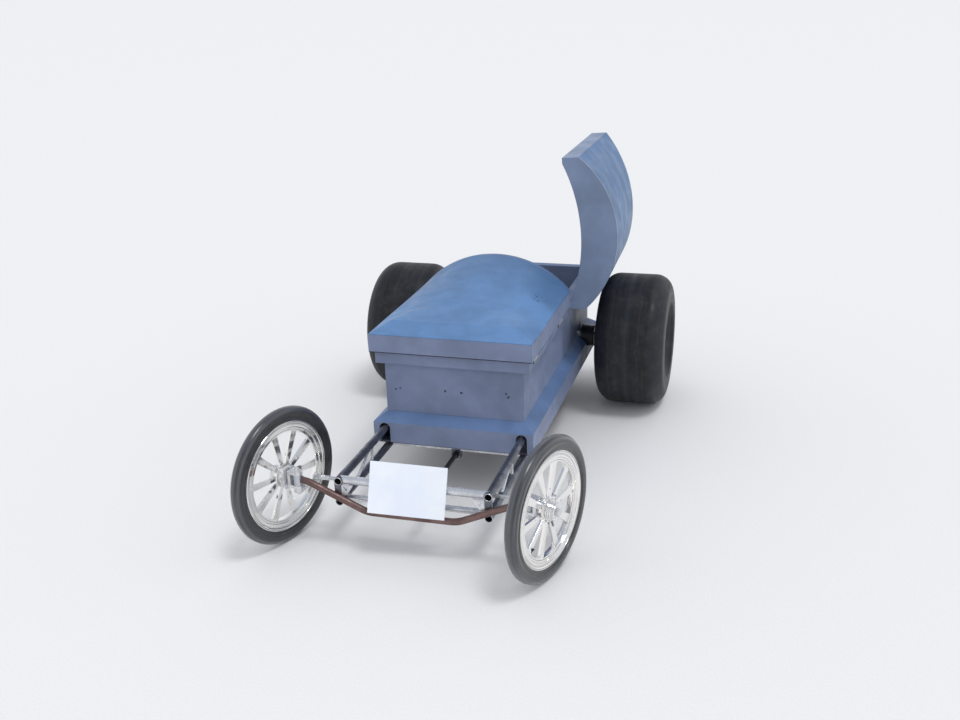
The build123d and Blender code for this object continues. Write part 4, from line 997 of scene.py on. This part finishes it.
class DRAGCAR_OT_casket_trim(bpy.types.Operator):
    """Hang black strips under the foot lid's rim as painted shadow, fill its crown's side edges and set the
    screws in the front panel
    """

    bl_idname = "dragcar.casket_trim"
    bl_label = "Casket trim"

    half_width = 0.2715
    strip = 0.0028
    # Painted shadow: levels of the black strips under the rim
    shadow_strip_levels = (0.4832, 0.4865)
    fill_from = -0.2145
    fill_step = 0.005
    fill_rows = 27
    fill_xs = (0.2555, 0.2720)
    fill_lift = 0.0002
    fill_depth = 0.003
    rim_top = 0.5442
    # Each screw's place across the panel and its height
    panel_screws = (
        (-0.2001, 0.3451), (-0.0299, 0.3522), (0.0244, 0.3498), (0.1754, 0.3591), (0.1818, 0.3458),
    )

    def shadow_strip(self):
        """Black strips under the foot lid's rim as painted shadow of its overhang, along its front, its
        right side and parts of its left.
        """
        low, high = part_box("foot_lid_rim")
        bottom, top = self.shadow_strip_levels
        mesh = bmesh.new()
        front = low.y + 0.0005
        add_block(
            mesh, (-self.half_width, front, bottom), (self.half_width, front + self.strip, top), 0.0006,
        )
        sides = ((-1, low.y + 0.004, high.y), (1, -0.214, -0.128), (1, 0.168, 0.232), (1, 0.246, high.y))
        for way, start, end in sides:
            near, far = sorted((way * self.half_width, way * (self.half_width - self.strip)))
            add_block(mesh, (near, start, bottom), (far, end, top), 0.0006)
        new_piece("foot_lid_shadow_strip", mesh, "foot_lid", "black", smooth=False)

    def fill(self):
        """Strips of filler that lead from the crown to the rim's outer edge, behind the nose."""
        inner_x, outer_x = self.fill_xs
        mesh = bmesh.new()
        for way in (-1, 1):
            rows = []
            for step in range(self.fill_rows):
                y = self.fill_from + self.fill_step * step
                inner = land("foot_lid_crown", (way * inner_x, y, 0.7), (0, 0, -1))
                inner.z += self.fill_lift
                outer = Vector((way * outer_x, y, self.rim_top))
                section = [outer.lerp(inner, share / 4) for share in range(5)]
                below = Vector((0, 0, self.fill_depth))
                section += [inner - below, outer - Vector((way * 0.004, 0, 0)) - below]
                corners = [mesh.verts.new(point) for point in section]
                rows.append([mesh.edges.new(pair) for pair in zip(corners, corners[1:] + corners[:1])])
            for row, after in zip(rows, rows[1:]):
                bmesh.ops.bridge_loops(mesh, edges=row + after)
            for row in (rows[0], rows[-1]):
                bmesh.ops.contextual_create(mesh, geom=row)
        new_piece("crown_edge_fill", mesh, "foot_lid", "crown_fill")

    def execute(self, context):
        self.shadow_strip()
        self.fill()
        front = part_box("casket_panels")[0].y
        screws = bmesh.new()
        for x, level in self.panel_screws:
            add_disc(screws, standing((x, front, level), (0, -1, 0)), 0.0030, 0.0006, 20, 0.0003)
        new_piece("panel_screws", screws, "chassis", "black")
        return {"FINISHED"}


class DRAGCAR_OT_rear_wheels(bpy.types.Operator):
    """Fit the rear wheels with lug nuts, bead rings and valves"""

    bl_idname = "dragcar.rear_wheels"
    bl_label = "Rear wheel fittings"

    half_track = 0.4605
    nut_circle = 0.040
    nut_level = 0.028
    bead_level = 0.099198
    bead_radius = 0.1122
    valve_place = (0.100, 0, 0.060)
    valve = ((0, 0.0055, 0.004, 18, 0.001), (0, 0.0030, 0.026, 16, 0.0006))

    def execute(self, context):
        settings = kept_settings(context)
        centre = Vector(joint("rear_axle_spin")["pos_m"])
        for side, outward in SIDES.items():
            hub = standing(centre + Vector((outward * self.half_track, 0, 0)), (outward, 0, 0))
            mesh = bmesh.new()
            for place in around_axis(hub, self.nut_circle, settings.lug_nuts, 0.2, self.nut_level):
                add_bolt(mesh, place, settings.lug_nut_across, 0.013, 0.006)
            for way in (-1, 1):
                add_ring(mesh, raised(hub, way * self.bead_level), self.bead_radius, 0.0016, 96, 8)
            stem = hub @ Matrix.Rotation(1.1, 4, "Z") @ standing(self.valve_place, (-0.8, 0, 1))
            add_stack(mesh, stem, self.valve)
            new_piece(f"rear_wheel_nuts_{side}", mesh, "rear_axle", "silver")
        return {"FINISHED"}


class DRAGCAR_OT_seat(bpy.types.Operator):
    """Pad the seat cushion and back, and sew channels into them"""

    bl_idname = "dragcar.seat"
    bl_label = "Padded seat"

    voxel = 0.006
    pressure = 4.0
    cloth_frames = 20
    channels = 5
    channel_width = 0.10
    channel_depth = 0.004
    seam_margin = 0.12

    def puff(self, context, name, low, high, puff):
        """A pad that fills a box: it starts smaller, swells like filled cloth and is capped."""
        inset = Vector((puff, puff, puff))
        mesh = bmesh.new()
        add_block(mesh, low + inset, high - inset, min(high - low) * 0.28)
        data = bpy.data.meshes.new(name)
        mesh.to_mesh(data)
        mesh.free()
        pad = bpy.data.objects.new(name, data)
        context.scene.collection.objects.link(pad)
        remesh = pad.modifiers.new("voxels", "REMESH")
        remesh.mode = "VOXEL"
        remesh.voxel_size = self.voxel
        self.apply(context, pad)
        rest = [vertex.co.copy() for vertex in pad.data.vertices]
        cloth = pad.modifiers.new("cloth", "CLOTH")
        cloth.settings.use_pressure = True
        cloth.settings.uniform_pressure_force = self.pressure
        cloth.settings.effector_weights.gravity = 0.0
        for number in range(1, self.cloth_frames + 1):
            context.scene.frame_set(number)
        self.apply(context, pad)
        for vertex, start in zip(pad.data.vertices, rest):
            step = vertex.co - start
            if step.length > puff:
                vertex.co = start + step * (puff / step.length)
        for vertex in pad.data.vertices:
            for index in range(3):
                vertex.co[index] = min(max(vertex.co[index], low[index]), high[index])
        return pad

    def apply(self, context, pad):
        shaped = pad.evaluated_get(context.evaluated_depsgraph_get())
        data = bpy.data.meshes.new_from_object(shaped)
        pad.modifiers.clear()
        pad.data = data

    def sew(self, pad, low, high, face, way):
        """Presses channels into the side of the pad that faces along an axis, forwards or backwards."""
        for vertex in pad.data.vertices:
            share = (vertex.co.x - low.x) / (high.x - low.x)
            front = (vertex.co[face] - low[face]) / (high[face] - low[face])
            front = front if way > 0 else 1 - front
            channel = share * self.channels % 1
            depth = sum(math.exp(-(((channel - seam) / self.channel_width) ** 2)) for seam in (0.0, 1.0))
            if self.seam_margin < share < 1 - self.seam_margin and front > 0.5:
                vertex.co[face] -= way * self.channel_depth * depth * (front - 0.5) * 2

    def execute(self, context):
        puff = kept_settings(context).seat_puff
        for node, face, way in (("seat_cushion", 2, 1), ("seat_back", 1, -1)):
            low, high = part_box(node)
            pad = self.puff(context, f"padded_{node}", low, high, puff)
            self.sew(pad, low, high, face, way)
            smooth = pad.modifiers.new("smooth", "SUBSURF")
            smooth.levels = smooth.render_levels = 1
            self.apply(context, pad)
            for polygon in pad.data.polygons:
                polygon.use_smooth = True
            pad.data.materials.clear()
            pad.data.materials.append(FINISH["vinyl"])
            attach(pad, "chassis")
            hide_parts(node)
        context.scene.frame_set(1)
        return {"FINISHED"}


class DRAGCAR_OT_engine(bpy.types.Operator):
    """Dress the engine with cooling fins, a starter cover, an air cleaner, a muffler and a spark plug"""

    bl_idname = "dragcar.engine"
    bl_label = "Engine dressing"

    fins_from = 0.288
    fins_height = 0.085
    fin_thickness = 0.0022
    starter_level = 0.236
    starter = ((0, 0.052, 0.012, 64, 0.004), (0.012, 0.024, 0.006, 48, 0.002))
    cylinder_y = 0.769
    cleaner_x = 0.012
    cleaner = ((0, 0.020, 0.010, 32), (0.010, 0.036, 0.018, 64, 0.004))
    muffler_x, muffler_lift = -0.130, 0.024
    muffler = ((0, 0.021, 0.096, 40, 0.004), (-0.012, 0.007, 0.013, 24))
    exhaust_x = -0.085
    plug_x, plug_level = -0.040, 0.345
    plug = ((0, 0.0065, 0.010, 6, 0.0006), (0.010, 0.0042, 0.012, 20, 0.001))

    def execute(self, context):
        count = kept_settings(context).cooling_fins
        low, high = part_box("engine_block")
        fins = bmesh.new()
        for index in range(count):
            level = self.fins_from + self.fins_height / count * index
            far = (high.x - 0.045, high.y + 0.003, level + self.fin_thickness)
            add_block(fins, (low.x - 0.006, low.y - 0.006, level), far, 0.0006)
        new_piece("engine_fins", fins, "chassis", "engine")
        cover = bmesh.new()
        hub = standing((low.x, (low.y + high.y) / 2, self.starter_level), (-1, 0, 0))
        add_stack(cover, hub, self.starter)
        for place in around_axis(hub, 0.038, 12, 0.0, 0.0115):
            add_disc(cover, place, 0.0032, 0.0024, 12, 0.0008)
        for place in around_axis(hub, 0.047, 4, 0.4, 0.012):
            add_bolt(cover, place, 0.006, 0.003, washer=False)
        new_piece("engine_starter_cover", cover, "chassis", "black")
        top = bmesh.new()
        cleaner = standing((self.cleaner_x, self.cylinder_y, high.z))
        add_stack(top, cleaner, self.cleaner)
        add_bolt(top, raised(cleaner, 0.028), 0.008, 0.004)
        muffler = standing((self.muffler_x, self.cylinder_y, high.z + self.muffler_lift), (1, 0, 0))
        add_stack(top, muffler, self.muffler)
        add_disc(top, standing((self.exhaust_x, self.cylinder_y, high.z - 0.002)), 0.010, 0.010, 24)
        add_stack(top, standing((self.plug_x, low.y + 0.004, self.plug_level), (0, -1, 0)), self.plug)
        new_piece("engine_top_fittings", top, "chassis", "silver")
        return {"FINISHED"}


class DRAGCAR_OT_chain(bpy.types.Operator):
    """Run the drive chain from the engine's clutch drum to the sprocket on the rear axle"""

    bl_idname = "dragcar.chain"
    bl_label = "Drive chain"

    sprocket = Vector((0.1025, 0.66505, 0.254))
    clutch = Vector((0.1025, 0.7690, 0.300))
    sprocket_radius = 0.0550
    clutch_radius = 0.0243
    pitch = 0.0108
    roller_radius, roller_width = 0.0029, 0.0048
    pin_radius, pin_length = 0.0018, 0.0096
    plate = (0.0009, 0.0162, 0.0062, 1)
    outer_gap, inner_gap = 0.0042, 0.0031
    shaft_x = 0.056
    teeth_level = 0.0445
    drum = (
        (0, 0.0095, 0.060, 32, 0.001), (0.008, 0.040, 0.028, 64, 0.003),
        (teeth_level, 0.0208, 0.004, 28, 0.0006),
    )

    def stops(self):
        """Evenly spaced points round the chain's loop, from the sprocket's upper tangent."""
        line = self.clutch - self.sprocket
        step_down = self.sprocket_radius - self.clutch_radius
        base = math.atan2(line.z, line.y)
        lean = math.acos(step_down / line.length)
        run = math.sqrt(line.length**2 - step_down**2)
        lengths = (run, self.clutch_radius * 2 * lean, run, self.sprocket_radius * (TURN - 2 * lean))
        total = sum(lengths)
        links = round(total / self.pitch)

        def rim(centre, radius, angle):
            return centre + Vector((0, math.cos(angle), math.sin(angle))) * radius

        for index in range(links):
            left = total * index / links
            for number, length in enumerate(lengths):
                if left <= length:
                    break
                left -= length
            share = left / length
            if number == 1:
                yield rim(self.clutch, self.clutch_radius, base + lean - share * 2 * lean)
            elif number == 3:
                yield rim(self.sprocket, self.sprocket_radius, base - lean - share * (TURN - 2 * lean))
            else:
                angle = base + (lean if number == 0 else -lean)
                low = rim(self.sprocket, self.sprocket_radius, angle)
                high = rim(self.clutch, self.clutch_radius, angle)
                yield low.lerp(high, share) if number == 0 else high.lerp(low, share)

    def execute(self, context):
        stops = list(self.stops())
        chain = bmesh.new()
        for index, point in enumerate(stops):
            ahead = stops[(index + 1) % len(stops)]
            for radius, width, sides in (
                (self.pin_radius, self.pin_length, 8), (self.roller_radius, self.roller_width, 10),
            ):
                add_disc(chain, standing(point - Vector((width / 2, 0, 0)), (1, 0, 0)), radius, width, sides)
            turn = math.atan2(ahead.z - point.z, ahead.y - point.y)
            gap = self.outer_gap if index % 2 else self.inner_gap
            for way in (-1, 1):
                plate = Matrix.Translation((point + ahead) / 2 + Vector((way * gap, 0, 0)))
                plate = plate @ Matrix.Rotation(turn, 4, "X") @ Matrix.Diagonal(self.plate)
                bmesh.ops.create_cube(chain, size=1.0, matrix=plate)
        new_piece("drive_chain", chain, "chassis", "rail")
        drum = bmesh.new()
        shaft = standing((self.shaft_x, self.clutch.y, self.clutch.z), (1, 0, 0))
        add_stack(drum, shaft, self.drum)
        for place in around_axis(shaft, 0.0225, 14, 0.0, self.teeth_level):
            add_disc(drum, place, 0.0016, 0.004, 8)
        add_bolt(drum, raised(shaft, 0.060), 0.010, 0.005)
        new_piece("clutch_drum", drum, "chassis", "bright")
        return {"FINISHED"}


class DRAGCAR_PT_panel(bpy.types.Panel):
    """The dressing's sizes and steps"""

    bl_idname = "DRAGCAR_PT_panel"
    bl_label = "Drag Car"
    bl_space_type = "VIEW_3D"
    bl_region_type = "UI"
    bl_category = "Drag Car"

    def draw(self, context):
        settings = kept_settings(context)
        for name in settings.bl_rna.properties.keys():
            if name not in ("rna_type", "name"):
                self.layout.prop(settings, name)
        for step in STEPS:
            self.layout.operator(step.bl_idname)


STEPS = (
    DRAGCAR_OT_stage,
    DRAGCAR_OT_mix_finishes,
    DRAGCAR_OT_finish_frame,
    DRAGCAR_OT_card,
    DRAGCAR_OT_frame_welds,
    DRAGCAR_OT_front_wheels,
    DRAGCAR_OT_steering_fittings,
    DRAGCAR_OT_hinge_screws,
    DRAGCAR_OT_casket_trim,
    DRAGCAR_OT_rear_wheels,
    DRAGCAR_OT_seat,
    DRAGCAR_OT_engine,
    DRAGCAR_OT_chain,
)
CLASSES = (DragCarSettings, *STEPS, DRAGCAR_PT_panel)


def register():
    for kind in CLASSES:
        bpy.utils.register_class(kind)
    bpy.types.Scene.drag_car = bpy.props.PointerProperty(type=DragCarSettings)


def unregister():
    del bpy.types.Scene.drag_car
    for kind in reversed(CLASSES):
        bpy.utils.unregister_class(kind)


def main():
    register()
    for step in STEPS:
        group, name = step.bl_idname.split(".")
        getattr(getattr(bpy.ops, group), name)()


if __name__ == "__main__":
    main()
